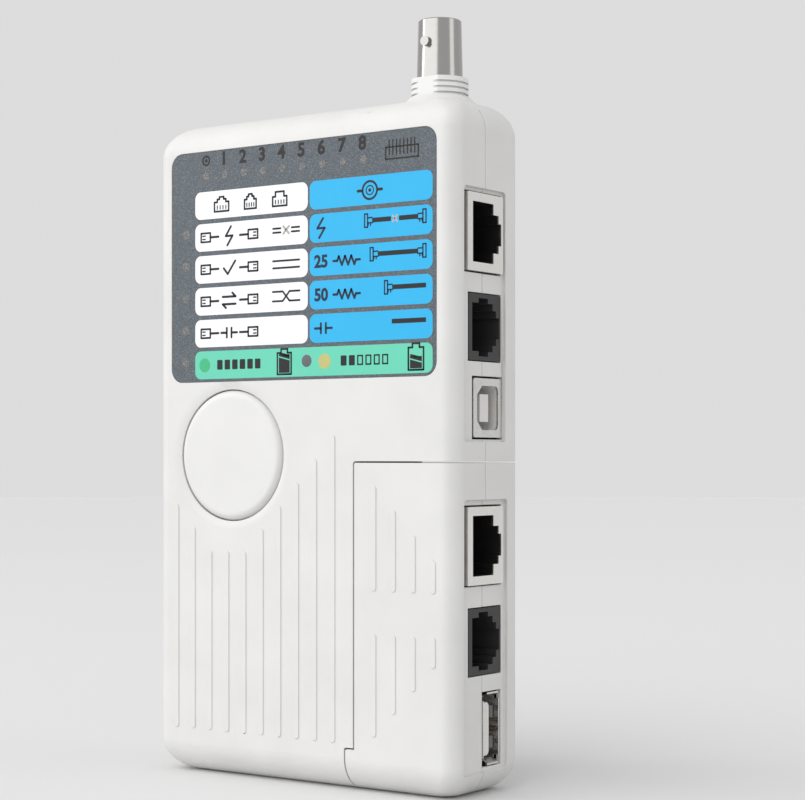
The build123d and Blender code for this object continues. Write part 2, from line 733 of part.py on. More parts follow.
def board_resistors():
    """One resistor behind each LED."""
    row, column, battery = led_places()
    size = (1.6, 0.6, 3.2)
    blocks = [small_block(x, LED_ROW_Z - 6.0, size) for x, z in row if abs(x - BOARD_SCREWS[2][0]) > 4]
    blocks += [small_block(LED_COLUMN_X + 6.0, z, (3.2, 0.6, 1.6)) for x, z in column]
    return group(blocks + [small_block(battery[0][0] + 5.0, battery[0][1], size)])


def capacitor(x, z):
    """Radial electrolytic can standing on the board."""
    can = rod_y(x, (BOARD_Y - CAPACITOR_H, BOARD_Y), z, CAPACITOR_D / 2)
    edge = can.edges().filter_by(GeomType.CIRCLE).group_by(Axis.Y)[0]
    return fillet(edge, 0.6)


def buzzer():
    """Round sounder with a hole in its cap."""
    x, z = BUZZER
    body = rod_y(x, (BOARD_Y - BUZZER_T, BOARD_Y), z, BUZZER_D / 2)
    edge = body.edges().filter_by(GeomType.CIRCLE).group_by(Axis.Y)[0]
    body = fillet(edge, 0.5)
    return body - rod_y(x, (BOARD_Y - BUZZER_T - 1, BOARD_Y - 2), z, 1.0)


# ---- jacks ----
def stepped_mouth(steps, foot_y, z_mid, x):
    """Plug opening whose latch side narrows in steps towards the board."""
    mouth = None
    for reach, width in steps:
        step = span(x, (foot_y, foot_y + reach), (z_mid - width / 2, z_mid + width / 2))
        mouth = step if mouth is None else mouth + step
    return mouth


def rj45_face():
    """Outermost plane of the shielded jacks."""
    return FLOOR_X + RJ45_PROUD


def rj45_peg_x():
    """Where the network jack's pegs stand."""
    return rj45_face() - RJ45_PEG_BACK


def phone_peg_x():
    """Where the phone jack's pegs stand."""
    return FLOOR_X - PHONE_PEG_BACK


def rj45_shield(z_mid):
    """Folded metal can with side latches, open at the plug's mouth."""
    face = rj45_face()
    rise = RJ45_W / 2
    can = span((face - RJ45_DEPTH, face), RJ45_Y, (z_mid - rise, z_mid + rise))
    can = fillet(can.edges().filter_by(Axis.X), 0.5)
    inner = (face - RJ45_DEPTH - 1, face - SHIELD_WALL)
    inner_z = (z_mid - rise + SHIELD_WALL, z_mid + rise - SHIELD_WALL)
    can -= span(inner, (RJ45_Y[0] + SHIELD_WALL, RJ45_Y[1] + 1), inner_z)
    can -= stepped_mouth(RJ45_STEPS, RJ45_MOUTH_Y0, z_mid, (face - 1, face + 1))
    for side in (-1, 1):
        can += shield_tab(z_mid, side, 0)
    return can


def shield_tab(z_mid, side, fit):
    """Tab of the shield that goes through the board, grown by a fit for its slot."""
    z = z_mid + side * (RJ45_W / 2 - SHIELD_WALL / 2)
    half_t = SHIELD_WALL / 2 + fit
    start = rj45_face() - 9
    return span((start - fit, start + 1 + fit), (RJ45_Y[1] - 2, BOARD_BACK + 0.8), (z - half_t, z + half_t))


def rj45_insert(z_mid):
    """Plastic body inside the shield, with the plug's bore."""
    face = rj45_face() - SHIELD_WALL
    rise = RJ45_W / 2 - SHIELD_WALL - INSERT_FIT
    y = (RJ45_Y[0] + SHIELD_WALL + INSERT_FIT, RJ45_Y[1] - INSERT_FIT)
    body = span((face - RJ45_DEPTH + 1, face - INSERT_FIT), y, (z_mid - rise, z_mid + rise))
    body -= stepped_mouth(RJ45_STEPS, RJ45_MOUTH_Y0, z_mid, (face - RJ45_BORE, face + 1))
    return body + jack_pegs(rj45_peg_x(), z_mid, RJ45_PEG_REACH, 0)


def jack_pegs(x, z_mid, reach, fit):
    """Two locating pegs into the board, grown by a fit for their holes."""
    depth = (RJ45_Y[1] - 0.6, BOARD_BACK + 0.6)
    return group([rod_y(x, depth, z_mid + side * reach, PEG_D / 2 + fit) for side in (-1, 1)])


def contact_row(count, pitch, z_mid, mouth_x, foot_y, bore):
    """Spring wires that slant into the bore from its foot."""
    wires = []
    for index in range(count):
        z = z_mid + (index - (count - 1) / 2) * pitch
        path = Polyline(
            (mouth_x - 1.6, foot_y + 0.22, z),
            (mouth_x - bore + 1.2, foot_y + 2.3, z),
            (mouth_x - bore, foot_y + 2.3, z),
        )
        profile = Plane(origin=path @ 0, z_dir=path % 0) * Rectangle(0.3, 0.3)
        wires.append(sweep(profile, path=path, transition=Transition.RIGHT))
    return group(wires)


def rj45_contacts(z_mid):
    """Eight contacts of a network jack."""
    return contact_row(8, 1.02, z_mid, rj45_face(), RJ45_MOUTH_Y0, RJ45_BORE + SHIELD_WALL)


def phone_jack(z_mid):
    """Plastic phone jack with a stepped mouth."""
    rise = PHONE_W / 2
    body = span((FLOOR_X - PHONE_DEPTH, FLOOR_X), PHONE_Y, (z_mid - rise, z_mid + rise))
    body = fillet(body.edges().filter_by(Axis.X), 0.4)
    depth = (FLOOR_X - PHONE_BORE, FLOOR_X + 1)
    body -= stepped_mouth(PHONE_STEPS, PHONE_MOUTH_Y0, z_mid, depth)
    start, end, wide = PHONE_EAR
    ear_z = (z_mid - wide / 2, z_mid + wide / 2)
    body -= span(depth, (PHONE_MOUTH_Y0 + start, PHONE_MOUTH_Y0 + end), ear_z)
    return body + jack_pegs(phone_peg_x(), z_mid, PHONE_PEG_REACH, 0)


def phone_contacts(z_mid):
    """Four contacts of a phone jack."""
    return contact_row(4, 1.02, z_mid, FLOOR_X, PHONE_MOUTH_Y0, PHONE_BORE)


def usb_b_mouth(x):
    """Opening of the type B jack, with two chamfered corners at the front."""
    y_mid = sum(USB_B_Y) / 2
    low, high = y_mid - USB_B_MOUTH[1] / 2, y_mid + USB_B_MOUTH[1] / 2
    rise = USB_B_MOUTH[0] / 2
    mouth = span(x, (low, high), (USB_B_Z - rise, USB_B_Z + rise))
    mouth = chamfer(mouth.edges().filter_by(Axis.X).group_by(Axis.Y)[0], USB_B_CHAMFER)
    return fillet(mouth.edges().filter_by(Axis.X).group_by(Axis.Y)[-1], USB_B_CORNER_R)


def usb_b_block(shrink, face):
    """Block of the type B jack, shrunk all round, from its back to a face."""
    rise = USB_B_W / 2 - shrink
    y = (USB_B_Y[0] + shrink, USB_B_Y[1] - shrink)
    return span((FLOOR_X - USB_B_DEPTH, face), y, (USB_B_Z - rise, USB_B_Z + rise))


def usb_b_shell():
    """Folded metal can of the type B jack, open at its back."""
    can = usb_b_block(0, FLOOR_X)
    can = fillet(can.edges().filter_by(Axis.X), 0.6)
    can -= Pos(-1, 0, 0) * usb_b_block(USB_B_WALL, FLOOR_X + 1 - USB_B_WALL)
    return can - usb_b_mouth((FLOOR_X - 1, FLOOR_X + 1))


def usb_b_insert():
    """Plastic body inside the can, with the bore and its tongue."""
    y_mid = sum(USB_B_Y) / 2
    floor = FLOOR_X - USB_B_BORE
    body = usb_b_block(USB_B_WALL + INSERT_FIT, FLOOR_X - USB_B_WALL - INSERT_FIT)
    body -= usb_b_mouth((floor, FLOOR_X + 1))
    half_t, half_w = USB_B_TONGUE[0] / 2, USB_B_TONGUE[1] / 2
    reach = (floor - 1, FLOOR_X - USB_B_TONGUE_BACK)
    return body + span(reach, (y_mid - half_t, y_mid + half_t), (USB_B_Z - half_w, USB_B_Z + half_w))


def usb_b_contacts():
    """Four flat contacts on the tongue's two faces."""
    y_mid = sum(USB_B_Y) / 2
    x = (FLOOR_X - USB_B_BORE, FLOOR_X - USB_B_TONGUE_BACK - 1.0)
    strips = []
    for side in (-1, 1):
        for z in (USB_B_Z - USB_CONTACT_PITCH / 2, USB_B_Z + USB_CONTACT_PITCH / 2):
            face = y_mid + side * USB_B_TONGUE[0] / 2
            strips.append(usb_contact(x, (face, face + side * USB_CONTACT_T), z))
    return group(strips)


def usb_contact(x, y, z):
    """Flat contact on a tongue."""
    return span(x, y, (z - USB_CONTACT_W / 2, z + USB_CONTACT_W / 2))


def usb_a_shell():
    """Folded metal mouth of the type A jack, with a flared lip at each end."""
    rise = USB_A_W / 2
    front = FLOOR_X - USB_A_SET
    tube = span((FLOOR_X - USB_A_DEPTH, front), USB_A_Y, (USB_A_Z - rise, USB_A_Z + rise))
    tube = fillet(tube.edges().filter_by(Axis.X), 0.5)
    inner_y = (USB_A_Y[0] + USB_A_WALL, USB_A_Y[1] - USB_A_WALL)
    inner_z = (USB_A_Z - rise + USB_A_WALL, USB_A_Z + rise - USB_A_WALL)
    tube -= span((FLOOR_X - USB_A_DEPTH + USB_A_WALL, FLOOR_X + 1), inner_y, inner_z)
    start, end, length = USB_A_LIP
    for side in (-1, 1):
        edge = USB_A_Z + side * rise
        tube -= span((front - length, FLOOR_X + 1), USB_A_Y, (edge - side * 0.8, edge + side))
        tube += usb_a_lip(side, (start, end), length)
        tube += usb_a_tab(side, 0)
    half_slit = USB_A_SLIT[0] / 2
    slit_x = (front - USB_A_SLIT[1], FLOOR_X + 1)
    return tube - span(slit_x, (inner_y[1] - 0.1, USB_A_Y[1] + 1), (USB_A_Z - half_slit, USB_A_Z + half_slit))


def usb_a_lip(side, y, length):
    """Lip that flares outwards from the top (side 1) or the foot of the type A mouth."""
    front, edge = FLOOR_X - USB_A_SET, USB_A_W / 2
    outline = Polyline(
        (front - length - 0.3, side * edge),
        (front - length, side * edge),
        (front, side * (edge + USB_A_FLARE)),
        (front, side * (edge + USB_A_FLARE - USB_A_WALL)),
        (front - length, side * (edge - USB_A_WALL)),
        (front - length - 0.3, side * (edge - USB_A_WALL)),
        close=True,
    )
    lip = extrude(Plane.XZ * make_face(outline), -(y[1] - y[0]))
    return Pos(0, y[0], USB_A_Z) * lip


def usb_a_tab(side, fit):
    """Tab of the type A jack that goes through the board, grown by a fit for its slot."""
    z = USB_A_Z + side * (USB_A_W / 2 - USB_A_WALL / 2)
    half_t = USB_A_WALL / 2 + fit
    start = FLOOR_X - 9
    return span((start - fit, start + 1.5 + fit), (USB_A_Y[1] - 1, BOARD_BACK + 0.6), (z - half_t, z + half_t))


def usb_a_insert():
    """Plastic block and tongue of the type A jack."""
    rise = USB_A_W / 2 - USB_A_WALL - INSERT_FIT
    y = (USB_A_Y[0] + USB_A_WALL + INSERT_FIT, USB_A_Y[1] - USB_A_WALL - INSERT_FIT)
    floor = FLOOR_X - USB_A_BORE
    x = (FLOOR_X - USB_A_DEPTH + USB_A_WALL + INSERT_FIT, floor)
    base = span(x, y, (USB_A_Z - rise, USB_A_Z + rise))
    half_w = USB_A_TONGUE[2] / 2
    reach = (floor - 1, FLOOR_X - USB_A_TONGUE_BACK)
    tongue = span(reach, usb_a_tongue_y(), (USB_A_Z - half_w, USB_A_Z + half_w))
    return base + fillet(tongue.edges().filter_by(Axis.X).group_by(Axis.Y)[-1], USB_A_TONGUE_R)


def usb_a_tongue_y():
    """Front and back faces of the type A tongue."""
    start = USB_A_Y[0] + USB_A_WALL + USB_A_TONGUE[0]
    return start, start + USB_A_TONGUE[1]


def usb_a_contacts():
    """Four flat contacts on the tongue."""
    face = usb_a_tongue_y()[1]
    x = (FLOOR_X - USB_A_BORE, FLOOR_X - USB_A_TONGUE_BACK - 1.0)
    return group([usb_contact(x, (face, face + USB_CONTACT_T), USB_A_Z + z) for z in USB_A_CONTACTS])


# ---- coax jack ----
def bnc_collar(z, fit):
    """Collar stock with its two flats, grown by a fit for the hole in the case."""
    half_flat = BNC_FLATS / 2 + fit
    reach = BNC_COLLAR_D / 2 + 1
    stock = rod_z(BNC_X, BNC_Y, z, BNC_COLLAR_D / 2 + fit)
    return stock & span((BNC_X - reach, BNC_X + reach), (BNC_Y - half_flat, BNC_Y + half_flat), z)


def bnc_barrel():
    """Bayonet barrel with two lugs and a flange above the collar."""
    base, collar_top, top = CASE_H - BNC_ROOT, CASE_H + BNC_COLLAR_H, CASE_H + BNC_TOP
    taper = Cone(BNC_BARREL_D / 2, BNC_RIM_D / 2, top - collar_top)
    taper = Pos(BNC_X, BNC_Y, (top + collar_top) / 2) * taper
    taper = chamfer(taper.edges().filter_by(GeomType.CIRCLE).group_by(Axis.Z)[-1], 0.2)
    barrel = taper + rod_z(BNC_X, BNC_Y, (base, collar_top), BNC_BARREL_D / 2)
    lug_z = top - BNC_LUG_DROP
    reach = BNC_BARREL_D / 2 + BNC_LUG_REACH
    barrel += rod_y(BNC_X, (BNC_Y - reach, BNC_Y + reach), lug_z, BNC_LUG_D / 2)
    return barrel - rod_z(BNC_X, BNC_Y, (base + BNC_FLOOR_T, top + 1), BNC_BORE_D / 2)


def bnc_base():
    """Moulded body under the top wall, with the threaded collar that comes through it."""
    wide, deep, tall = BNC_BASE
    top = CASE_H - WALL - 0.1
    body = span((BNC_X - wide / 2, BNC_X + wide / 2), (BOARD_Y - deep, BOARD_Y), (top - tall, top))
    body = fillet(body.edges().filter_by(Axis.Z), 0.8)
    collar_top = CASE_H + BNC_COLLAR_H
    collar = bnc_collar((top - 1, collar_top), 0)
    for index in range(BNC_GROOVES):
        z = collar_top - 1.15 - 1.15 * index
        ring = rod_z(BNC_X, BNC_Y, (z - 0.22, z + 0.22), BNC_COLLAR_D / 2 + 1)
        collar -= ring - rod_z(BNC_X, BNC_Y, (z - 1, z + 1), BNC_COLLAR_D / 2 - 0.45)
    base = CASE_H - BNC_ROOT
    return body + collar - rod_z(BNC_X, BNC_Y, (base, collar_top + 1), BNC_BARREL_D / 2 + 0.02)


def bnc_insulator():
    """White sleeve round the centre contact."""
    base = CASE_H - BNC_ROOT + BNC_FLOOR_T
    sleeve = rod_z(BNC_X, BNC_Y, (base, CASE_H + BNC_TOP - 3.2), 2.35)
    floor = rod_z(BNC_X, BNC_Y, (base, base + 2.0), BNC_BORE_D / 2 - 0.02)
    return sleeve + floor - rod_z(BNC_X, BNC_Y, (base - 1, CASE_H + BNC_TOP), 0.98)


def bnc_contact():
    """Centre contact, split at its tip."""
    base = CASE_H - BNC_ROOT + BNC_FLOOR_T
    top = CASE_H + BNC_TOP - 3.6
    pin = rod_z(BNC_X, BNC_Y, (base, top), 0.95)
    pin -= rod_z(BNC_X, BNC_Y, (top - 4, top + 1), 0.5)
    return pin - span((BNC_X - 2, BNC_X + 2), (BNC_Y - 0.12, BNC_Y + 0.12), (top - 3, top + 1))


# ---- battery ----
def battery_case():
    """Nine-volt block."""
    wide, deep, tall = BATTERY
    y = (BATTERY_Y - deep / 2, BATTERY_Y + deep / 2)
    body = span((BATTERY_X - wide / 2, BATTERY_X + wide / 2), y, (BATTERY_Z0, BATTERY_Z0 + tall))
    body = fillet(body.edges().filter_by(Axis.Z), BATTERY_R)
    return fillet(body.edges().group_by(Axis.Z)[-1] + body.edges().group_by(Axis.Z)[0], 0.6)


def battery_terminals():
    """Snap stud and socket on top of the block."""
    top = BATTERY_Z0 + BATTERY[2]
    stud = rod_z(BATTERY_X - TERMINAL_SPAN / 2, BATTERY_Y, (top, top + 2.1), 2.85)
    socket = rod_z(BATTERY_X + TERMINAL_SPAN / 2, BATTERY_Y, (top, top + 2.1), 4.0)
    socket -= rod_z(BATTERY_X + TERMINAL_SPAN / 2, BATTERY_Y, (top + 0.5, top + 3), 3.3)
    return group([stud, socket])


def battery_clip():
    """Padded strap that snaps on the terminals."""
    low = BATTERY_Z0 + BATTERY[2] + 2.1
    half_w = TERMINAL_SPAN / 2 + 4.8
    strap = span((BATTERY_X - half_w, BATTERY_X + half_w), (BATTERY_Y - 4.8, BATTERY_Y + 4.8), (low, low + 2.2))
    strap = fillet(strap.edges().filter_by(Axis.Z), 4.2)
    return fillet(strap.edges().group_by(Axis.Z)[-1], 0.6)


def battery_lead(x_clip, x_board):
    """Insulated lead from the clip to the board's lower edge."""
    z = BATTERY_Z0 + BATTERY[2] + 3.2
    start_x = BATTERY_X + TERMINAL_SPAN / 2 + 4.8
    points = [
        (start_x, BATTERY_Y + x_clip, z),
        (start_x + 2.4, BATTERY_Y + x_clip, z),
        (x_board, BATTERY_Y + x_clip, z + 9.0),
        (x_board, BOARD_Y - 2.6, z + 15.0),
        (x_board, BOARD_Y, z + 15.0),
    ]
    path = FilletPolyline(*points, radius=[1.6, 3.0, 1.6])
    return sweep(Plane(origin=path @ 0, z_dir=path % 0) * Circle(0.6), path=path)


# ---- build ----
def build_case():
    """Shells, door and everything cut from the case envelope."""
    body, space = envelope(), hollow()
    main, remote = main_solid(body, space), remote_solid(body, space)
    save("front_shell", front_shell(main))
    save("back_shell", back_shell(main, space))
    save("remote_front_shell", remote_front_shell(remote))
    save("remote_back_shell", remote_back_shell(body, remote))
    save("battery_door", battery_door(body))
    save("label_overlay", extrude(label_outline(LABEL_FIT), LABEL_T))
    save("case_screws", group([case_screw(x, z) for x, z in CASE_SCREWS]))
    save("remote_screws", group([case_screw(x, z) for x, z in REMOTE_SCREWS]))


def build_boards():
    """Boards and what is soldered to them."""
    row, column, battery = led_places()
    save("main_board", main_board())
    save("remote_board", remote_board())
    save("board_screws", group([board_screw(x, z) for x, z in BOARD_SCREWS]))
    save("remote_board_screw", group([board_screw(x, z) for x, z in REMOTE_BOARD_SCREWS]))
    save("row_leds", group([led(x, z) for x, z in row]))
    save("column_leds", group([led(x, z) for x, z in column]))
    save("battery_led", led(*battery[0]))
    save("led_leads", group([lead for x, z in row + column + battery for lead in led_lead_pair(x, z)]))
    save("microcontroller", chip())
    save("board_resistors", board_resistors())
    x, low, pitch, count = REMOTE_RESISTORS
    save("remote_resistors", group([small_block(x, low + pitch * n, (2.4, 0.6, 1.2)) for n in range(count)]))
    save("board_capacitors", group([capacitor(x, z) for x, z in CAPACITORS]))
    save("buzzer", buzzer())


def build_jacks():
    """Network, phone and USB jacks."""
    for unit, rj45_z, phone_z in (
        ("main", RJ45_MAIN_Z, PHONE_MAIN_Z),
        ("remote", RJ45_REMOTE_Z, PHONE_REMOTE_Z),
    ):
        save(f"rj45_shield_{unit}", rj45_shield(rj45_z))
        save(f"rj45_insert_{unit}", rj45_insert(rj45_z))
        save(f"rj45_contacts_{unit}", rj45_contacts(rj45_z))
        save(f"phone_jack_{unit}", phone_jack(phone_z))
        save(f"phone_contacts_{unit}", phone_contacts(phone_z))
    save("usb_b_shell", usb_b_shell())
    save("usb_b_insert", usb_b_insert())
    save("usb_b_contacts", usb_b_contacts())
    save("usb_a_shell", usb_a_shell())
    save("usb_a_insert", usb_a_insert())
    save("usb_a_contacts", usb_a_contacts())
    save("bnc_barrel", bnc_barrel())
    save("bnc_base", bnc_base())
    save("bnc_insulator", bnc_insulator())
    save("bnc_contact", bnc_contact())


def build_power():
    """Button, switch, battery and its leads."""
    save("power_button", power_button())
    save("switch_body", switch_body())
    save("switch_plunger", switch_plunger())
    save("battery_case", battery_case())
    save("battery_terminals", battery_terminals())
    save("battery_clip", battery_clip())
    save("battery_lead_red", battery_lead(1.6, -3.0))
    save("battery_lead_black", battery_lead(-1.6, -0.6))


build_case()
build_boards()
build_jacks()
build_power()
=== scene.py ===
"""Looks of the network cable tester: finishes, printed label, sockets, fasteners, light and camera."""

import json
import logging
import math
from dataclasses import dataclass, field
from enum import Enum
from typing import Any, Iterable, Mapping, Optional, Sequence, Union

import bmesh
import bpy
from mathutils import Matrix, Vector

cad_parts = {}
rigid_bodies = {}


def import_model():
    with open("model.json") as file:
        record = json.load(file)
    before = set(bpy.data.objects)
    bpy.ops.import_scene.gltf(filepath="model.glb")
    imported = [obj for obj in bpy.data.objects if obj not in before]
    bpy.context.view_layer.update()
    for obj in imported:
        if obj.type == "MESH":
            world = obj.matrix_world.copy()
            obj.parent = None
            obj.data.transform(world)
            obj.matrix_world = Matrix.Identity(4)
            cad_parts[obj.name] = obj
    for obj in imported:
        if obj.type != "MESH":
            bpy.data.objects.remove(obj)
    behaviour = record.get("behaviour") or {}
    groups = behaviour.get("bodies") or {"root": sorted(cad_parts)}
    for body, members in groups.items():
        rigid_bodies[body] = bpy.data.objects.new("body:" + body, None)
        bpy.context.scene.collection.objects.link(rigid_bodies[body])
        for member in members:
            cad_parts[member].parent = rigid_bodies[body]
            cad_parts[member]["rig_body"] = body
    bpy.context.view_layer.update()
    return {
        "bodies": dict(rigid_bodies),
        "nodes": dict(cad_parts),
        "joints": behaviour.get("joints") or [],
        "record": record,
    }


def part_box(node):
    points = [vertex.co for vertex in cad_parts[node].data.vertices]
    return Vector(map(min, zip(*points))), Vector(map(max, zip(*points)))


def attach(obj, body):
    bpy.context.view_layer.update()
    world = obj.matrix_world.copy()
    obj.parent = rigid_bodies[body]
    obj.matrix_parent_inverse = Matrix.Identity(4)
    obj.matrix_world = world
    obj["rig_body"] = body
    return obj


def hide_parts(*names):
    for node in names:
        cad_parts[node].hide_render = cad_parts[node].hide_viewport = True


MM = 0.001
LOG = logging.getLogger("cable_tester")

Colour = tuple[float, float, float]
Path = Sequence[tuple[float, float]]
Input = Union["Wire", float, Sequence[float]]


# ---------------------------------------------------------------- shader maths


class Wire:
    """A shader socket that takes part in arithmetic; each operator adds one Math node."""

    def __init__(self, graph: "Graph", socket: bpy.types.NodeSocket) -> None:
        """Keep the graph and the socket that carries the value."""
        self.graph = graph
        self.socket = socket

    def _math(self, operation: str, *values: Input) -> "Wire":
        """Add a Math node.

        Args:
            operation: Name of the Math node's operation.
            values: Inputs, in order.

        Returns:
            The node's result.
        """
        node = self.graph.node("ShaderNodeMath", {"operation": operation}, dict(enumerate(values)))
        return Wire(self.graph, node.outputs[0])

    def __add__(self, other: Input) -> "Wire":
        """Sum."""
        return self._math("ADD", self, other)

    __radd__ = __add__

    def __sub__(self, other: Input) -> "Wire":
        """Difference."""
        return self._math("SUBTRACT", self, other)

    def __rsub__(self, other: Input) -> "Wire":
        """Difference from a number."""
        return self._math("SUBTRACT", other, self)

    def __mul__(self, other: Input) -> "Wire":
        """Product."""
        return self._math("MULTIPLY", self, other)

    __rmul__ = __mul__

    def __truediv__(self, other: Input) -> "Wire":
        """Quotient."""
        return self._math("DIVIDE", self, other)

    def __pow__(self, other: Input) -> "Wire":
        """Power."""
        return self._math("POWER", self, other)

    def above(self, limit: float) -> "Wire":
        """One where the value is above a limit, and zero elsewhere."""
        return self._math("GREATER_THAN", self, limit)

    def repeat(self, period: float) -> "Wire":
        """Distance from the middle of each repeat, from 0 to half a period."""
        return self._math("PINGPONG", self, period / 2)

    def ramp(self, low: float, high: float, start: float = 0.0, end: float = 1.0) -> "Wire":
        """Clamped straight ramp.

        Args:
            low: Value where the ramp starts.
            high: Value where it ends.
            start: Result at or below low.
            end: Result at or above high.

        Returns:
            The ramped value.
        """
        node = self.graph.node(
            "ShaderNodeMapRange", {"clamp": True}, {"Value": self, 1: low, 2: high, 3: start, 4: end}
        )
        return Wire(self.graph, node.outputs[0])


class Graph:
    """Node tree of one material, with a Principled shader at its end."""

    def __init__(self, name: str) -> None:
        """Make the material and empty its tree down to the shader."""
        self.material = bpy.data.materials.new(name)
        self.material.use_nodes = True
        self.tree = self.material.node_tree
        self.shader = next(n for n in self.tree.nodes if n.type == "BSDF_PRINCIPLED")

    def node(self, kind: str, settings: Mapping[str, Any], inputs: Mapping[Any, Input]) -> bpy.types.Node:
        """Add a node.

        Args:
            kind: The node's type.
            settings: Properties that are set first.
            inputs: Values or wires, by socket name or number.

        Returns:
            The new node.
        """
        made = self.tree.nodes.new(kind)
        for key, value in settings.items():
            setattr(made, key, value)
        for key, value in inputs.items():
            self.feed(made.inputs[key], value)
        return made

    def feed(self, socket: bpy.types.NodeSocket, value: Input) -> None:
        """Link a wire to a socket, or set the socket's own value.

        Args:
            socket: Socket to feed.
            value: Wire, number or colour.
        """
        if isinstance(value, Wire):
            self.tree.links.new(value.socket, socket)
        elif isinstance(value, (int, float)):
            socket.default_value = value
        elif len(value) == 3 and socket.type == "RGBA":
            socket.default_value = (*value, 1.0)
        else:
            socket.default_value = value

    def place(self) -> Wire:
        """Object coordinates, in metres."""
        return Wire(self, self.node("ShaderNodeTexCoord", {}, {}).outputs["Object"])

    def axes(self) -> tuple[Wire, Wire, Wire]:
        """Object coordinates one by one.

        Returns:
            The x, y and z coordinates, in millimetres.
        """
        parts = self.node("ShaderNodeSeparateXYZ", {}, {0: self.place()})
        x, y, z = (Wire(self, socket) / MM for socket in parts.outputs)
        return x, y, z

    def stretched(self, scale: Sequence[float]) -> Wire:
        """Object coordinates scaled differently along each axis."""
        node = self.node("ShaderNodeMapping", {}, {"Vector": self.place(), "Scale": tuple(scale)})
        return Wire(self, node.outputs[0])

    def noise(
        self, size_mm: float, detail: float = 2.0, rough: float = 0.5, vector: Optional[Wire] = None
    ) -> Wire:
        """Noise of about 0 to 1.

        Args:
            size_mm: Size of its blotches.
            detail: Octaves.
            rough: Weight of the fine octaves.
            vector: Coordinates; plain object coordinates when left out.

        Returns:
            The noise value.
        """
        node = self.node(
            "ShaderNodeTexNoise",
            {"noise_dimensions": "3D"},
            {"Vector": vector or self.place(), "Scale": 1.0 / (size_mm * MM), "Detail": detail, "Roughness": rough},
        )
        return Wire(self, node.outputs[0])

    def mix(self, factor: Input, first: Input, second: Input) -> Wire:
        """Blend of two colours."""
        node = self.node("ShaderNodeMix", {"data_type": "RGBA"}, {"Factor": factor, 6: first, 7: second})
        return Wire(self, node.outputs[2])

    def bump(self, height: Wire, depth_mm: float, strength: float = 1.0, under: Optional[Wire] = None) -> Wire:
        """Bumped normal.

        Args:
            height: Height from 0 to 1.
            depth_mm: What a height of 1 stands for.
            strength: Share of the bump that is used.
            under: Normal that it is laid over.

        Returns:
            The normal.
        """
        inputs: dict[Any, Input] = {"Height": height, "Distance": depth_mm * MM, "Strength": strength}
        if under is not None:
            inputs["Normal"] = under
        return Wire(self, self.node("ShaderNodeBump", {}, inputs).outputs[0])

    def crevice(self, reach_mm: float) -> Wire:
        """Zero in the open and one deep in a gap.

        Args:
            reach_mm: How far away a wall still counts.

        Returns:
            The share that is closed in.
        """
        node = self.node(
            "ShaderNodeAmbientOcclusion", {"samples": 8, "only_local": True}, {"Distance": reach_mm * MM}
        )
        return 1.0 - Wire(self, node.outputs["AO"])

    def dress(self, **values: Input) -> bpy.types.Material:
        """Set the shader's sockets.

        Args:
            values: Value or wire for each socket, its name in lower case with underscores.

        Returns:
            The finished material.
        """
        for key, value in values.items():
            name = key.replace("_", " ").title().replace("Ior", "IOR")
            self.feed(self.shader.inputs[name], value)
        return self.material


# ---------------------------------------------------------------- finishes


def shaded(colour: Colour, factor: float, lift: float = 0.0) -> Colour:
    """Colour times a factor, plus a lift, at most 1."""
    red, green, blue = (min(1.0, part * factor + lift) for part in colour)
    return red, green, blue


@dataclass(frozen=True)
class MouldedPlastic:
    """Injection-moulded plastic with a fine grain, and painted shade in its gaps, tinted brown and broken into
    patches.
    """

    name: str
    colour: Colour
    roughness: float = 0.42
    grain_mm: float = 0.16
    grain_depth_mm: float = 0.006
    mottle: float = 0.03
    # colour and strength of the painted shade that darkens gaps and crevices
    shade_tint: Colour = (0.30, 0.27, 0.22)
    shade_strength: float = 0.22

    def make(self) -> bpy.types.Material:
        """Build the material.

        Returns:
            The finished material.
        """
        graph = Graph(self.name)
        cloud = graph.noise(14.0, 3.0, 0.55)
        shade_patches = graph.noise(3.2, 2.0, 0.6)
        grain = graph.noise(self.grain_mm, 2.0, 0.6)
        pits = graph.noise(self.grain_mm * 5.0, 3.0, 0.7)
        light, dark = shaded(self.colour, 1.0 + self.mottle), shaded(self.colour, 1.0 - self.mottle)
        tone = graph.mix(cloud.ramp(0.3, 0.7), dark, light)
        # painted shade: ambient occlusion darkens gaps towards the brown tint in noisy patches, and roughens them
        painted_shade = graph.crevice(0.9) * shade_patches.ramp(0.3, 0.75, 0.55, 1.0) * self.shade_strength
        colour = graph.mix(painted_shade, tone, self.shade_tint)
        rub = graph.noise(1.1, 4.0, 0.75).ramp(0.56, 0.78)
        gloss = cloud.ramp(0.25, 0.75, self.roughness - 0.05, self.roughness + 0.06) - rub * 0.07 + painted_shade * 0.5
        normal = graph.bump(pits, self.grain_depth_mm * 1.6, 0.5)
        normal = graph.bump(grain, self.grain_depth_mm, 0.8, normal)
        return graph.dress(base_color=colour, roughness=gloss, normal=normal, specular_ior_level=0.42)


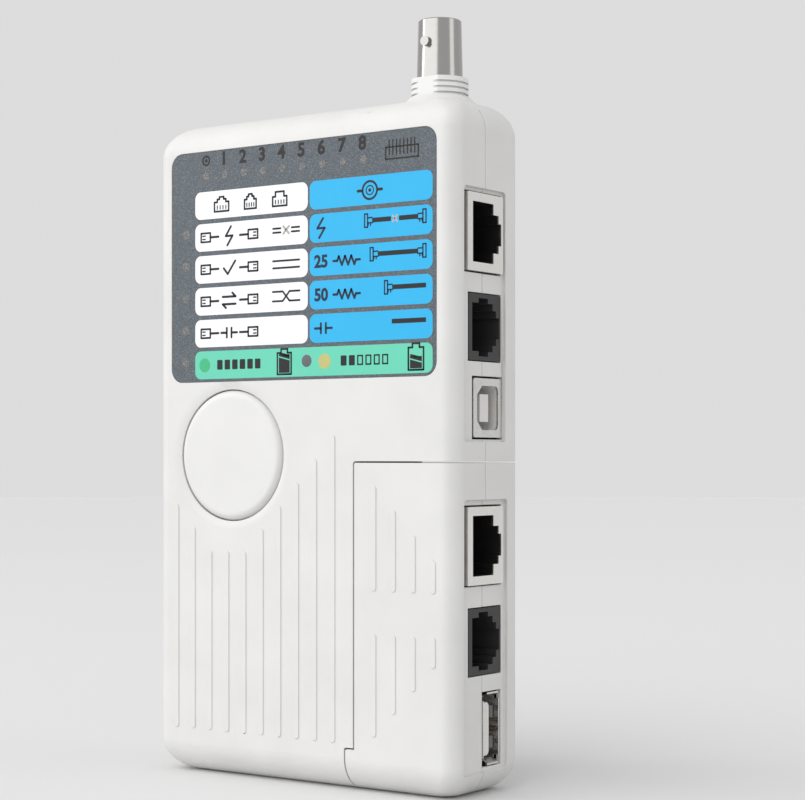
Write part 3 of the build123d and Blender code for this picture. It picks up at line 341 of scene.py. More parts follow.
@dataclass(frozen=True)
class PrintedFilm:
    """Speckled polyester film, or ink on it, with a light orange-peel surface."""

    name: str
    colour: Colour
    speckle: Colour
    speckle_share: float = 0.35
    speckle_mm: float = 0.17
    roughness: float = 0.38
    peel_mm: float = 0.35

    def make(self) -> bpy.types.Material:
        """Build the material.

        Returns:
            The finished material.
        """
        graph = Graph(self.name)
        dots = graph.noise(self.speckle_mm, 1.0, 0.8)
        drift = graph.noise(7.0, 2.0, 0.5)
        scuff = graph.noise(2.0, 5.0, 0.8, graph.stretched((1.0, 1.0, 0.22))).ramp(0.62, 0.8)
        body = graph.mix(drift.ramp(0.3, 0.7, 0.0, 0.5), self.colour, shaded(self.colour, 0.93))
        colour = graph.mix(dots.ramp(0.5, 0.66, 0.0, self.speckle_share), body, self.speckle)
        colour = graph.mix(scuff * 0.12, colour, shaded(self.colour, 1.25, 0.04))
        gloss = dots.ramp(0.3, 0.7, self.roughness - 0.04, self.roughness + 0.08) + scuff * 0.12
        normal = graph.bump(graph.noise(self.peel_mm, 2.0, 0.5), 0.006, 0.6)
        return graph.dress(base_color=colour, roughness=gloss, normal=normal, specular_ior_level=0.3)


class Lay(Enum):
    """Direction in which a metal was drawn or brushed."""

    ALONG_X = (0.05, 1.0, 1.0)
    ALONG_Z = (1.0, 1.0, 0.05)
    ROUND_Z = (0.25, 0.25, 1.0)


@dataclass(frozen=True)
class PlatedMetal:
    """Plated sheet or bar with drawing lines, dull patches and fine scratches."""

    name: str
    colour: Colour
    roughness: float = 0.24
    lay: Lay = Lay.ALONG_X
    line_mm: float = 0.12
    tarnish: Colour = (0.42, 0.38, 0.33)
    tarnish_share: float = 0.35

    def make(self) -> bpy.types.Material:
        """Build the material.

        Returns:
            The finished material.
        """
        graph = Graph(self.name)
        lines = graph.noise(self.line_mm, 2.0, 0.6, graph.stretched(self.lay.value))
        patch = graph.noise(2.4, 4.0, 0.65)
        spots = graph.noise(0.5, 3.0, 0.7).ramp(0.6, 0.75)
        dull = graph.crevice(0.5) * 0.5 + patch.ramp(0.52, 0.75, 0.0, 0.4) + spots * 0.12
        colour = graph.mix(dull * self.tarnish_share, self.colour, self.tarnish)
        gloss = lines.ramp(0.25, 0.75, self.roughness - 0.05, self.roughness + 0.09) + dull * 0.22
        normal = graph.bump(lines, 0.0022, 0.6)
        normal = graph.bump(patch, 0.006, 0.3, normal)
        return graph.dress(base_color=colour, roughness=gloss, metallic=1.0, normal=normal)


@dataclass(frozen=True)
class SoftRubber:
    """Matt rubber or soft insulation with dust in its grain."""

    name: str
    colour: Colour
    roughness: float = 0.62

    def make(self) -> bpy.types.Material:
        """Build the material.

        Returns:
            The finished material.
        """
        graph = Graph(self.name)
        grain = graph.noise(0.12, 2.0, 0.6)
        dust = graph.noise(1.6, 4.0, 0.7).ramp(0.5, 0.8, 0.0, 0.16)
        colour = graph.mix(dust, self.colour, shaded(self.colour, 1.0, 0.12))
        gloss = grain.ramp(0.3, 0.7, self.roughness - 0.05, self.roughness + 0.08)
        normal = graph.bump(grain, 0.010, 0.6)
        return graph.dress(base_color=colour, roughness=gloss, normal=normal, specular_ior_level=0.35)


@dataclass(frozen=True)
class CircuitBoard:
    """Glass-epoxy board: weave under the mask, copper runs, tinned pads."""

    name: str
    mask: Colour = (0.012, 0.105, 0.040)
    run: Colour = (0.030, 0.190, 0.075)
    pad: Colour = (0.70, 0.68, 0.62)
    pitch_mm: float = 2.54

    def make(self) -> bpy.types.Material:
        """Build the material.

        Returns:
            The finished material.
        """
        graph = Graph(self.name)
        x, _, z = graph.axes()
        sway = graph.noise(9.0, 1.0, 0.4) * 9.0
        level = (z + sway).repeat(self.pitch_mm / 2)
        runs = 1.0 - level.ramp(0.16, 0.22)
        column = (x + sway * 0.6).repeat(self.pitch_mm)
        riser = (1.0 - column.ramp(0.14, 0.20)) * graph.noise(11.0, 0.0, 0.5).above(0.52)
        copper = (runs * graph.noise(13.0, 0.0, 0.5).above(0.47) + riser).ramp(0.0, 1.0)
        grid = (x.repeat(self.pitch_mm) ** 2.0 + z.repeat(self.pitch_mm) ** 2.0) ** 0.5
        via = (1.0 - grid.ramp(0.30, 0.36)) * graph.noise(4.0, 0.0, 0.5).above(0.56)
        weave = (x.repeat(0.5) + z.repeat(0.5)) * 2.0
        base = graph.mix(weave.ramp(0.0, 1.0, 0.0, 0.15), self.mask, self.run)
        colour = graph.mix(copper, base, self.run)
        colour = graph.mix(via, colour, self.pad)
        height = copper * 0.7 + via
        gloss = graph.noise(0.8, 3.0, 0.6).ramp(0.3, 0.7, 0.24, 0.38)
        normal = graph.bump(height, 0.03, 0.7)
        return graph.dress(base_color=colour, roughness=gloss, metallic=via, normal=normal)


@dataclass(frozen=True)
class ClearEpoxy:
    """Water-clear or tinted epoxy of an LED, with its cloudy core."""

    name: str
    colour: Colour
    roughness: float = 0.12

    def make(self) -> bpy.types.Material:
        """Build the material.

        Returns:
            The finished material.
        """
        graph = Graph(self.name)
        haze = graph.noise(0.9, 3.0, 0.6)
        colour = graph.mix(haze.ramp(0.35, 0.7, 0.0, 0.5), self.colour, shaded(self.colour, 0.8))
        gloss = haze.ramp(0.3, 0.7, self.roughness, self.roughness + 0.12)
        normal = graph.bump(graph.noise(0.4, 2.0, 0.5), 0.004, 0.5)
        return graph.dress(base_color=colour, roughness=gloss, normal=normal, transmission_weight=0.45, ior=1.5)


@dataclass(frozen=True)
class WrappedBattery:
    """Printed film round the nine-volt block: dark body and a copper-coloured band."""

    name: str
    body: Colour = (0.030, 0.032, 0.036)
    band: Colour = (0.62, 0.33, 0.13)
    band_from_mm: float = 40.0

    def make(self) -> bpy.types.Material:
        """Build the material.

        Returns:
            The finished material.
        """
        graph = Graph(self.name)
        _, _, z = graph.axes()
        crease = graph.noise(2.2, 3.0, 0.6, graph.stretched((1.0, 1.0, 0.25)))
        band = z.ramp(self.band_from_mm, self.band_from_mm + 0.1)
        colour = graph.mix(band, self.body, self.band)
        colour = graph.mix(crease.ramp(0.6, 0.8, 0.0, 0.2), colour, (0.5, 0.5, 0.5))
        gloss = crease.ramp(0.3, 0.7, 0.22, 0.36)
        normal = graph.bump(crease, 0.04, 0.4)
        return graph.dress(base_color=colour, roughness=gloss, metallic=band * 0.7, normal=normal)


@dataclass(frozen=True)
class StudioFloor:
    """Pale seamless floor paper."""

    name: str
    colour: Colour = (0.68, 0.68, 0.68)

    def make(self) -> bpy.types.Material:
        """Build the material.

        Returns:
            The finished material.
        """
        graph = Graph(self.name)
        fibre = graph.noise(6.0, 3.0, 0.6)
        colour = graph.mix(fibre.ramp(0.3, 0.7, 0.0, 0.3), self.colour, shaded(self.colour, 0.985))
        return graph.dress(base_color=colour, roughness=0.75, specular_ior_level=0.2)


# ---------------------------------------------------------------- mesh work


class Shape:
    """A bmesh under construction, in millimetres, that becomes one object in metres."""

    CAPITAL_SHARE = 0.70  # height of a numeral by the size of its font
    BOLD_SHARE = 0.052  # how far a numeral's outline is pushed out, by its height
    WALL_SHARE = 0.45  # straight part of a shouldered plate's height
    END_SHARE = 0.48  # corner radius of a stroke's end by its width
    SEAM_MM = 1e-5  # points of a ring nearer than this are one
    WELD_MM = 2e-4  # points of a finished shape nearer than this are one

    def __init__(self, thick: float) -> None:
        """Start empty, with the thickness of all that is added."""
        self.thick = thick
        self.bm = bmesh.new()

    def plate(self, size: tuple[float, float], radius: float, place: Matrix, steps: int = 8) -> None:
        """Add a flat plate with round corners that rises from z 0.

        Args:
            size: Width along x and height along y.
            radius: Corner radius.
            place: Where it goes.
            steps: Segments of each corner.
        """
        made = bmesh.ops.create_grid(self.bm, x_segments=1, y_segments=1, size=0.5)
        verts = made["verts"]
        bmesh.ops.scale(self.bm, vec=(size[0], size[1], 1.0), verts=verts)
        cut = bmesh.ops.bevel(
            self.bm, geom=verts, offset=radius, offset_type="OFFSET", segments=steps, profile=0.5,
            affect="VERTICES", material=-1,
        )
        faces = list({face for vert in cut["verts"] for face in vert.link_faces})
        self.lift(faces, place)

    def disc(self, radius: float, place: Matrix, sides: int = 40, dome: float = 0.0) -> None:
        """Add a round plate.

        Args:
            radius: Its radius.
            place: Where it goes.
            sides: Sides of its outline.
            dome: Share of the radius that its shoulder takes.
        """
        made = bmesh.ops.create_circle(self.bm, cap_ends=True, segments=sides, radius=radius)
        faces = list({face for vert in made["verts"] for face in vert.link_faces})
        self.lift(faces, place, dome * radius)

    def lift(self, faces: list[bmesh.types.BMFace], place: Matrix, inset: float = 0.0) -> None:
        """Extrude flat faces to a closed plate.

        Args:
            faces: Flat faces at z 0.
            place: Where it goes.
            inset: Width of a sloped shoulder round the top.
        """
        top = bmesh.ops.extrude_face_region(self.bm, geom=faces, use_keep_orig=True)
        lifted = [part for part in top["geom"] if isinstance(part, bmesh.types.BMVert)]
        caps = [part for part in top["geom"] if isinstance(part, bmesh.types.BMFace)]
        wall = self.thick if inset == 0 else self.thick * self.WALL_SHARE
        bmesh.ops.translate(self.bm, vec=(0.0, 0.0, wall), verts=lifted)
        body = {vert for face in faces for vert in face.verts} | set(lifted)
        if inset > 0:
            ring = bmesh.ops.inset_region(self.bm, faces=caps, thickness=inset, use_even_offset=True)
            crown = [vert for face in caps for vert in face.verts]
            bmesh.ops.translate(self.bm, vec=(0.0, 0.0, self.thick * (1 - self.WALL_SHARE)), verts=crown)
            body |= set(crown) | {vert for face in ring["faces"] for vert in face.verts}
        everything = {face for vert in body for face in vert.link_faces}
        bmesh.ops.transform(self.bm, matrix=place, verts=list(body))
        bmesh.ops.recalc_face_normals(self.bm, faces=list(everything))

    def strokes(self, paths: Iterable[Path], width: float, place: Matrix) -> None:
        """Add a stroke with round ends along each run of each path.

        Args:
            paths: Points of each path, in the plate's own plane.
            width: Width of the strokes.
            place: Where they go.
        """
        for start, end in (run for path in paths for run in zip(path, path[1:])):
            a, b = Vector(start), Vector(end)
            along, middle = b - a, (a + b) / 2
            turn = Matrix.Rotation(math.atan2(along.y, along.x), 4, "Z")
            where = place @ Matrix.Translation((middle.x, middle.y, 0.0)) @ turn
            self.plate((along.length + width, width), width * self.END_SHARE, where, 3)

    def cross(self, half: tuple[float, float], width: float, place: Matrix) -> None:
        """Add two crossing strokes.

        Args:
            half: Half their reach along x and y.
            width: Width of the strokes.
            place: Where they go.
        """
        x, y = half
        self.strokes([((-x, -y), (x, y)), ((-x, y), (x, -y))], width, place)

    def ring(self, outer: float, inner: float, place: Matrix, sides: int = 36) -> None:
        """Add a flat ring, spun from its square section.

        Args:
            outer: Outer radius.
            inner: Inner radius.
            place: Where it goes.
            sides: Sections round the ring.
        """
        made = bmesh.ops.create_grid(self.bm, x_segments=1, y_segments=1, size=0.5)
        verts = made["verts"]
        bmesh.ops.scale(self.bm, vec=(outer - inner, self.thick, 1.0), verts=verts)
        bmesh.ops.translate(self.bm, vec=((outer + inner) / 2, self.thick / 2, 0.0), verts=verts)
        bmesh.ops.rotate(self.bm, cent=(0, 0, 0), matrix=Matrix.Rotation(math.pi / 2, 3, "X"), verts=verts)
        before = set(self.bm.verts) - set(verts)
        geom = list({face for vert in verts for face in vert.link_faces}) + verts
        geom += list({edge for vert in verts for edge in vert.link_edges})
        bmesh.ops.spin(
            self.bm, geom=geom, cent=(0, 0, 0), axis=(0, 0, 1), angle=math.tau, steps=sides, use_merge=True,
            use_duplicate=False,
        )
        fresh = [vert for vert in self.bm.verts if vert not in before]
        bmesh.ops.remove_doubles(self.bm, verts=fresh, dist=self.SEAM_MM)
        fresh = [vert for vert in self.bm.verts if vert not in before]
        inner_faces = [face for face in {f for v in fresh for f in v.link_faces} if self._buried(face)]
        bmesh.ops.delete(self.bm, geom=inner_faces, context="FACES_ONLY")
        fresh = [vert for vert in self.bm.verts if vert not in before]
        bmesh.ops.transform(self.bm, matrix=place, verts=fresh)
        bmesh.ops.recalc_face_normals(self.bm, faces=list({f for v in fresh for f in v.link_faces}))

    @staticmethod
    def _buried(face: bmesh.types.BMFace) -> bool:
        """Whether a face is a leftover section inside the wall."""
        return all(len(edge.link_faces) > 2 for edge in face.edges)

    def text(self, words: str, height: float, place: Matrix) -> None:
        """Add numerals, centred on the place.

        Args:
            words: What to write.
            height: Height of a numeral.
            place: Where it goes.
        """
        curve = bpy.data.curves.new("numeral", "FONT")
        curve.body = words
        curve.size = height / self.CAPITAL_SHARE
        curve.align_x = "CENTER"
        curve.align_y = "CENTER"
        curve.extrude = self.thick / 2
        curve.offset = height * self.BOLD_SHARE
        curve.resolution_u = 4
        holder = bpy.data.objects.new("numeral", curve)
        bpy.context.scene.collection.objects.link(holder)
        mesh = bpy.data.meshes.new_from_object(holder.evaluated_get(bpy.context.evaluated_depsgraph_get()))
        mesh.transform(place @ Matrix.Translation((0.0, 0.0, self.thick / 2)))
        self.bm.from_mesh(mesh)
        bpy.data.objects.remove(holder)
        bpy.data.curves.remove(curve)
        bpy.data.meshes.remove(mesh)

    def finish(
        self, name: str, material: bpy.types.Material, body: str, slot: str, smooth_deg: float = 40.0
    ) -> None:
        """Turn the shape into an object that rides on a body.

        Args:
            name: Name of the piece.
            material: Its finish.
            body: CAD body that carries it.
            slot: Material slot of the record; not used.
            smooth_deg: Angle past which an edge stays sharp.
        """
        bmesh.ops.remove_doubles(self.bm, verts=self.bm.verts, dist=self.WELD_MM)
        bmesh.ops.scale(self.bm, vec=(MM, MM, MM), verts=self.bm.verts)
        mesh = bpy.data.meshes.new(name)
        self.bm.to_mesh(mesh)
        self.bm.free()
        mesh.materials.append(material)
        mesh.shade_smooth()
        mesh.set_sharp_from_angle(angle=math.radians(smooth_deg))
        piece = bpy.data.objects.new(name, mesh)
        bpy.context.scene.collection.objects.link(piece)
        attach(piece, body)
        LOG.info("%s: %d faces on %s", name, len(mesh.polygons), body)


def facing_front(x: float, y: float, z: float) -> Matrix:
    """Place whose z axis points out of the front face, all in millimetres."""
    return Matrix.Translation((x, y, z)) @ Matrix.Rotation(math.pi / 2, 4, "X")


def facing_back(x: float, y: float, z: float) -> Matrix:
    """Place whose z axis points out of the back face, all in millimetres."""
    return Matrix.Translation((x, y, z)) @ Matrix.Rotation(math.pi, 4, "Z") @ facing_front(0.0, 0.0, 0.0)


def rectangle(left: float, foot: float, right: float, top: float) -> Path:
    """Closed path round a rectangle."""
    return ((left, foot), (right, foot), (right, top), (left, top), (left, foot))


def box_mm(node: str) -> tuple[Vector, Vector]:
    """Lowest and highest corners of a CAD node, in millimetres."""
    low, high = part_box(node)
    return low / MM, high / MM


# ---------------------------------------------------------------- finishes of this object


class Paintbox:
    """Every finish of the tester, made once and handed out by name."""

    def __init__(self) -> None:
        """Make all finishes."""
        white = (0.638, 0.633, 0.620)
        self.case = MouldedPlastic("case_plastic", white).make()
        self.button = MouldedPlastic("button_plastic", (0.655, 0.651, 0.640), 0.40, mottle=0.02).make()
        self.door = MouldedPlastic("door_plastic", (0.634, 0.629, 0.616), 0.44).make()
        # the collar takes stronger painted shade in its gaps
        self.collar = MouldedPlastic("collar_plastic", (0.70, 0.70, 0.695), 0.36, shade_strength=0.3).make()
        # the black plastics take a near-black painted shade in their gaps
        self.black = MouldedPlastic("socket_plastic", (0.010, 0.010, 0.011), 0.40, shade_tint=(0.05, 0.05, 0.05)).make()
        self.phone = MouldedPlastic(
            "phone_socket_plastic", (0.030, 0.030, 0.032), 0.46, shade_tint=(0.02, 0.02, 0.02)
        ).make()
        self.tongue = MouldedPlastic("tongue_plastic", (0.66, 0.65, 0.63), 0.38).make()
        self.chip = MouldedPlastic("chip_epoxy", (0.012, 0.012, 0.014), 0.5, 0.08).make()
        self.sleeve = MouldedPlastic("capacitor_sleeve", (0.015, 0.022, 0.06), 0.3, 0.3).make()
        self.insulator = MouldedPlastic("insulator_plastic", (0.84, 0.83, 0.80), 0.35).make()
        self.overlay = PrintedFilm("overlay_film", (0.060, 0.076, 0.092), (0.270, 0.292, 0.308), 0.62, 0.135).make()
        self.ink_white = PrintedFilm("ink_white", (0.82, 0.83, 0.85), (0.74, 0.75, 0.78), 0.2).make()
        self.ink_blue = PrintedFilm("ink_blue", (0.016, 0.395, 0.72), (0.035, 0.46, 0.80), 0.3).make()
        self.ink_green = PrintedFilm("ink_green", (0.118, 0.555, 0.395), (0.16, 0.62, 0.45), 0.3).make()
        self.ink_dark = PrintedFilm("ink_dark", (0.006, 0.006, 0.009), (0.026, 0.026, 0.03), 0.35).make()
        self.ink_numeral = PrintedFilm("ink_numeral", (0.012, 0.009, 0.009), (0.05, 0.04, 0.04), 0.35).make()
        self.ink_navy = PrintedFilm("ink_navy", (0.004, 0.012, 0.035), (0.012, 0.03, 0.07), 0.3).make()
        self.ink_grey = PrintedFilm("ink_grey", (0.40, 0.38, 0.36), (0.5, 0.48, 0.46), 0.3).make()
        self.dot_green = PrintedFilm("dot_green", (0.045, 0.42, 0.19), (0.07, 0.48, 0.24), 0.25).make()
        self.dot_yellow = PrintedFilm("dot_yellow", (0.46, 0.44, 0.16), (0.54, 0.52, 0.22), 0.3).make()
        self.window = PrintedFilm("led_window", (0.105, 0.118, 0.130), (0.36, 0.28, 0.21), 0.75, 0.3).make()
        self.window_dark = PrintedFilm(
            "battery_window", (0.10, 0.11, 0.12), (0.16, 0.17, 0.18), 0.4, roughness=0.25
        ).make()
        self.shield = PlatedMetal("shield_tin", (0.80, 0.785, 0.76), 0.30, Lay.ALONG_Z).make()
        self.usb = PlatedMetal(
            "usb_nickel", (0.72, 0.715, 0.70), 0.24, Lay.ALONG_X, tarnish=(0.10, 0.10, 0.105), tarnish_share=0.7
        ).make()
        # painted reflection: the barrel's base colour is darkened to stand in for the dark surroundings that chrome
        # would reflect
        self.nickel = PlatedMetal("barrel_nickel", (0.39, 0.382, 0.37), 0.15, Lay.ROUND_Z, tarnish_share=0.45).make()
        self.gold = PlatedMetal("contact_gold", (0.86, 0.62, 0.25), 0.2, tarnish=(0.5, 0.33, 0.12)).make()
        self.screw = PlatedMetal("screw_zinc", (0.42, 0.42, 0.43), 0.32).make()
        # painted shade: the springs' steel and its tarnish are darkened to near-black to stand in for the shade and
        # dark reflections deep in the socket
        self.spring = PlatedMetal("spring_steel", (0.17, 0.17, 0.175), 0.3, tarnish=(0.05, 0.05, 0.052)).make()
        self.wire = PlatedMetal("tinned_wire", (0.70, 0.69, 0.66), 0.3).make()
        self.board = CircuitBoard("circuit_board").make()
        self.led = ClearEpoxy("led_epoxy", (0.80, 0.82, 0.80)).make()
        self.battery = WrappedBattery("battery_film").make()
        self.clip = SoftRubber("clip_rubber", (0.020, 0.020, 0.021)).make()
        self.red = SoftRubber("lead_red", (0.45, 0.020, 0.014), 0.5).make()
        self.dark = SoftRubber("lead_black", (0.015, 0.015, 0.016), 0.5).make()


# ---------------------------------------------------------------- sub-assemblies


@dataclass
class MouldedNodes:
    """Moulded and machined CAD nodes that show, redone with softened edges."""

    frame: dict[str, Any]
    paint: Paintbox
    segments: int = 2
    sharp_deg: float = 32.0
    flat_deg: float = 0.25
    weld_mm: float = 0.002
    sliver_mm: float = 0.01
    front_y: float = -12.5
    rib_share: float = 0.6
    skin_mm: float = 2.25
    finishes: dict[str, tuple[str, float]] = field(
        default_factory=lambda: {
            "front_shell": ("case", 0.085),
            "back_shell": ("case", 0.14),
            "remote_front_shell": ("case", 0.085),
            "remote_back_shell": ("case", 0.14),
            "battery_door": ("door", 0.12),
            "power_button": ("button", 0.10),
        }
    )

    def build(self) -> None:
        """Replace each node with its softened copy."""
        for node, (finish, width) in self.finishes.items():
            self._soften(node, getattr(self.paint, finish), width)

    def _soften(self, node: str, material: bpy.types.Material, width: float) -> None:
        """Merge a copy of a node, round its edges and give it its finish.

        Args:
            node: CAD node to replace.
            material: Its finish.
            width: Width of the rounding.
        """
        source = self.frame["nodes"][node]
        mesh = source.data.copy()
        mesh.name = f"{node}_moulded"
        custom = mesh.attributes.get("custom_normal")
        if custom is not None:
            mesh.attributes.remove(custom)
        work = bmesh.new()
        work.from_mesh(mesh)
        bmesh.ops.remove_doubles(work, verts=work.verts, dist=self.weld_mm * MM)
        bmesh.ops.dissolve_degenerate(work, dist=self.sliver_mm * MM, edges=work.edges)
        self._lower_ribs(work)
        bmesh.ops.dissolve_limit(
            work, angle_limit=math.radians(self.flat_deg), use_dissolve_boundaries=False, verts=work.verts,
            edges=work.edges, delimit={"NORMAL"},
        )
        self._weigh_edges(work)
        work.to_mesh(mesh)
        work.free()
        mesh.shade_smooth()
        mesh.set_sharp_from_angle(angle=math.radians(self.sharp_deg))
        mesh.materials.clear()
        mesh.materials.append(material)
        piece = bpy.data.objects.new(f"{node}_moulded", mesh)
        bpy.context.scene.collection.objects.link(piece)
        bevel = piece.modifiers.new("soft_edges", "BEVEL")
        bevel.width = width * MM
        bevel.segments = self.segments
        bevel.limit_method = "WEIGHT"
        bevel.use_clamp_overlap = False
        bevel.harden_normals = True
        bevel.miter_outer = "MITER_ARC"
        weigh = piece.modifiers.new("even_normals", "WEIGHTED_NORMAL")
        weigh.mode = "FACE_AREA"
        weigh.keep_sharp = True
        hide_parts(node)
        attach(piece, source["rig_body"])
        LOG.info("%s softened by %.2f mm", node, width)

    def _weigh_edges(self, work: bmesh.types.BMesh) -> None:
        """Choose the sharp edges in the outer skin, so that the bosses inside stay crisp.

        Args:
            work: Mesh whose edges are weighed.
        """
        layer = work.edges.layers.float.new("bevel_weight_edge")
        low = Vector([min(vert.co[axis] for vert in work.verts) for axis in range(3)])
        high = Vector([max(vert.co[axis] for vert in work.verts) for axis in range(3)])
        for edge in work.edges:
            middle = (edge.verts[0].co + edge.verts[1].co) / 2
            depth = min(min(middle[axis] - low[axis], high[axis] - middle[axis]) for axis in range(3))
            if depth < self.skin_mm * MM and edge.calc_face_angle(0.0) > math.radians(self.sharp_deg):
                edge[layer] = 1.0

    def _lower_ribs(self, work: bmesh.types.BMesh) -> None:
        """Bring the crowns of the grip ribs nearer to the front face.

        Args:
            work: Mesh whose points are moved.
        """
        crowns = [vert for vert in work.verts if vert.co.y < (self.front_y - 0.01) * MM]
        face = Matrix.Translation((0.0, self.front_y * MM, 0.0))
        squeeze = face @ Matrix.Diagonal((1.0, self.rib_share, 1.0, 1.0)) @ face.inverted()
        bmesh.ops.transform(work, matrix=squeeze, verts=crowns)


@dataclass
class CarriedNodes:
    """CAD nodes that keep their shape, listed by the finish that they take."""

    frame: dict[str, Any]
    paint: Paintbox
    finishes: dict[str, str] = field(
        default_factory=lambda: {
            "overlay": "label_overlay",
            "board": "main_board remote_board",
            "led": "row_leds column_leds battery_led",
            "wire": "led_leads battery_terminals",
            "chip": "switch_body microcontroller board_resistors remote_resistors",
            "black": "switch_plunger buzzer rj45_insert_main rj45_insert_remote",
            "sleeve": "board_capacitors",
            "usb": "usb_b_shell usb_a_shell",
            "tongue": "usb_b_insert usb_a_insert",
            "gold": (
                "usb_b_contacts usb_a_contacts bnc_contact rj45_contacts_main phone_contacts_main "
                "rj45_contacts_remote phone_contacts_remote"
            ),
            "nickel": "bnc_barrel",
            "collar": "bnc_base",
            "insulator": "bnc_insulator",
            "battery": "battery_case",
            "clip": "battery_clip",
            "red": "battery_lead_red",
            "dark": "battery_lead_black",
            "screw": "case_screws remote_screws board_screws remote_board_screw",
            "shield": "rj45_shield_main rj45_shield_remote",
            "phone": "phone_jack_main phone_jack_remote",
        }
    )

    def build(self) -> None:
        """Give each node its finish."""
        for finish, nodes in self.finishes.items():
            for node in nodes.split():
                mesh = self.frame["nodes"][node].data
                mesh.materials.clear()
                mesh.materials.append(getattr(self.paint, finish))
                LOG.info("%s finished in %s", node, finish)


class Mark(Enum):
    """Strokes of each printed pictogram, in millimetres from its middle."""

    SHORTED = (((0.5, 2.0), (-0.95, 0.0), (0.95, 0.0), (-0.5, -2.0)),)
    JOINED = (((-1.5, 0.0), (-0.4, -1.25), (1.7, 1.5)),)
    CROSSED = (((-1.8, 0.8), (1.8, 0.8), (0.9, 1.6)), ((1.8, -0.8), (-1.8, -0.8), (-0.9, -1.6)))
    OPEN = (
        ((-2.2, 0.0), (-0.65, 0.0)), ((0.65, 0.0), (2.2, 0.0)),
        ((-0.65, -1.0), (-0.65, 1.0)), ((0.65, -1.0), (0.65, 1.0)),
    )
    RESISTOR = (
        ((-3.4, 0.0), (-2.4, 0.0), (-2.0, 0.9), (-1.2, -0.9), (-0.4, 0.9), (0.4, -0.9), (1.2, 0.9), (2.0, -0.9),
         (2.4, 0.0), (3.4, 0.0)),
    )
    CELL = (
        ((-1.85, -2.7), (1.85, -2.7), (1.85, 1.8), (0.85, 1.8), (0.85, 2.6), (-0.85, 2.6), (-0.85, 1.8),
         (-1.85, 1.8), (-1.85, -2.7)),
    )
    COAX_END = (
        ((0.0, -1.35), (0.0, 1.35)), ((0.75, -1.35), (0.75, 1.35)), ((0.0, 1.35), (0.75, 1.35)),
        ((0.0, -1.35), (0.75, -1.35)), ((0.75, 0.55), (1.9, 0.55)), ((0.9, -0.5), (0.9, -1.0)),
        ((1.5, -0.5), (1.5, -1.0)), ((0.75, -0.5), (2.0, -0.5)),
    )
    CABLE_PLUG = (rectangle(-4.0, -1.5, 4.0, 0.9),)
    ROW_PLUG = (rectangle(-1.3, -0.95, 1.3, 0.95),)
    LEVEL_BLOCK = (rectangle(-0.6, -0.9, 0.6, 0.9),)


class Pen:
    """Widths of the printed strokes, in millimetres."""

    SLANT = 0.24
    PIN = 0.28
    WIRE = 0.3
    BLOCK = 0.32
    PLUG = 0.34
    CELL = 0.4
    LINE = 0.42
    BOLD = 0.5
    TICK = 0.6


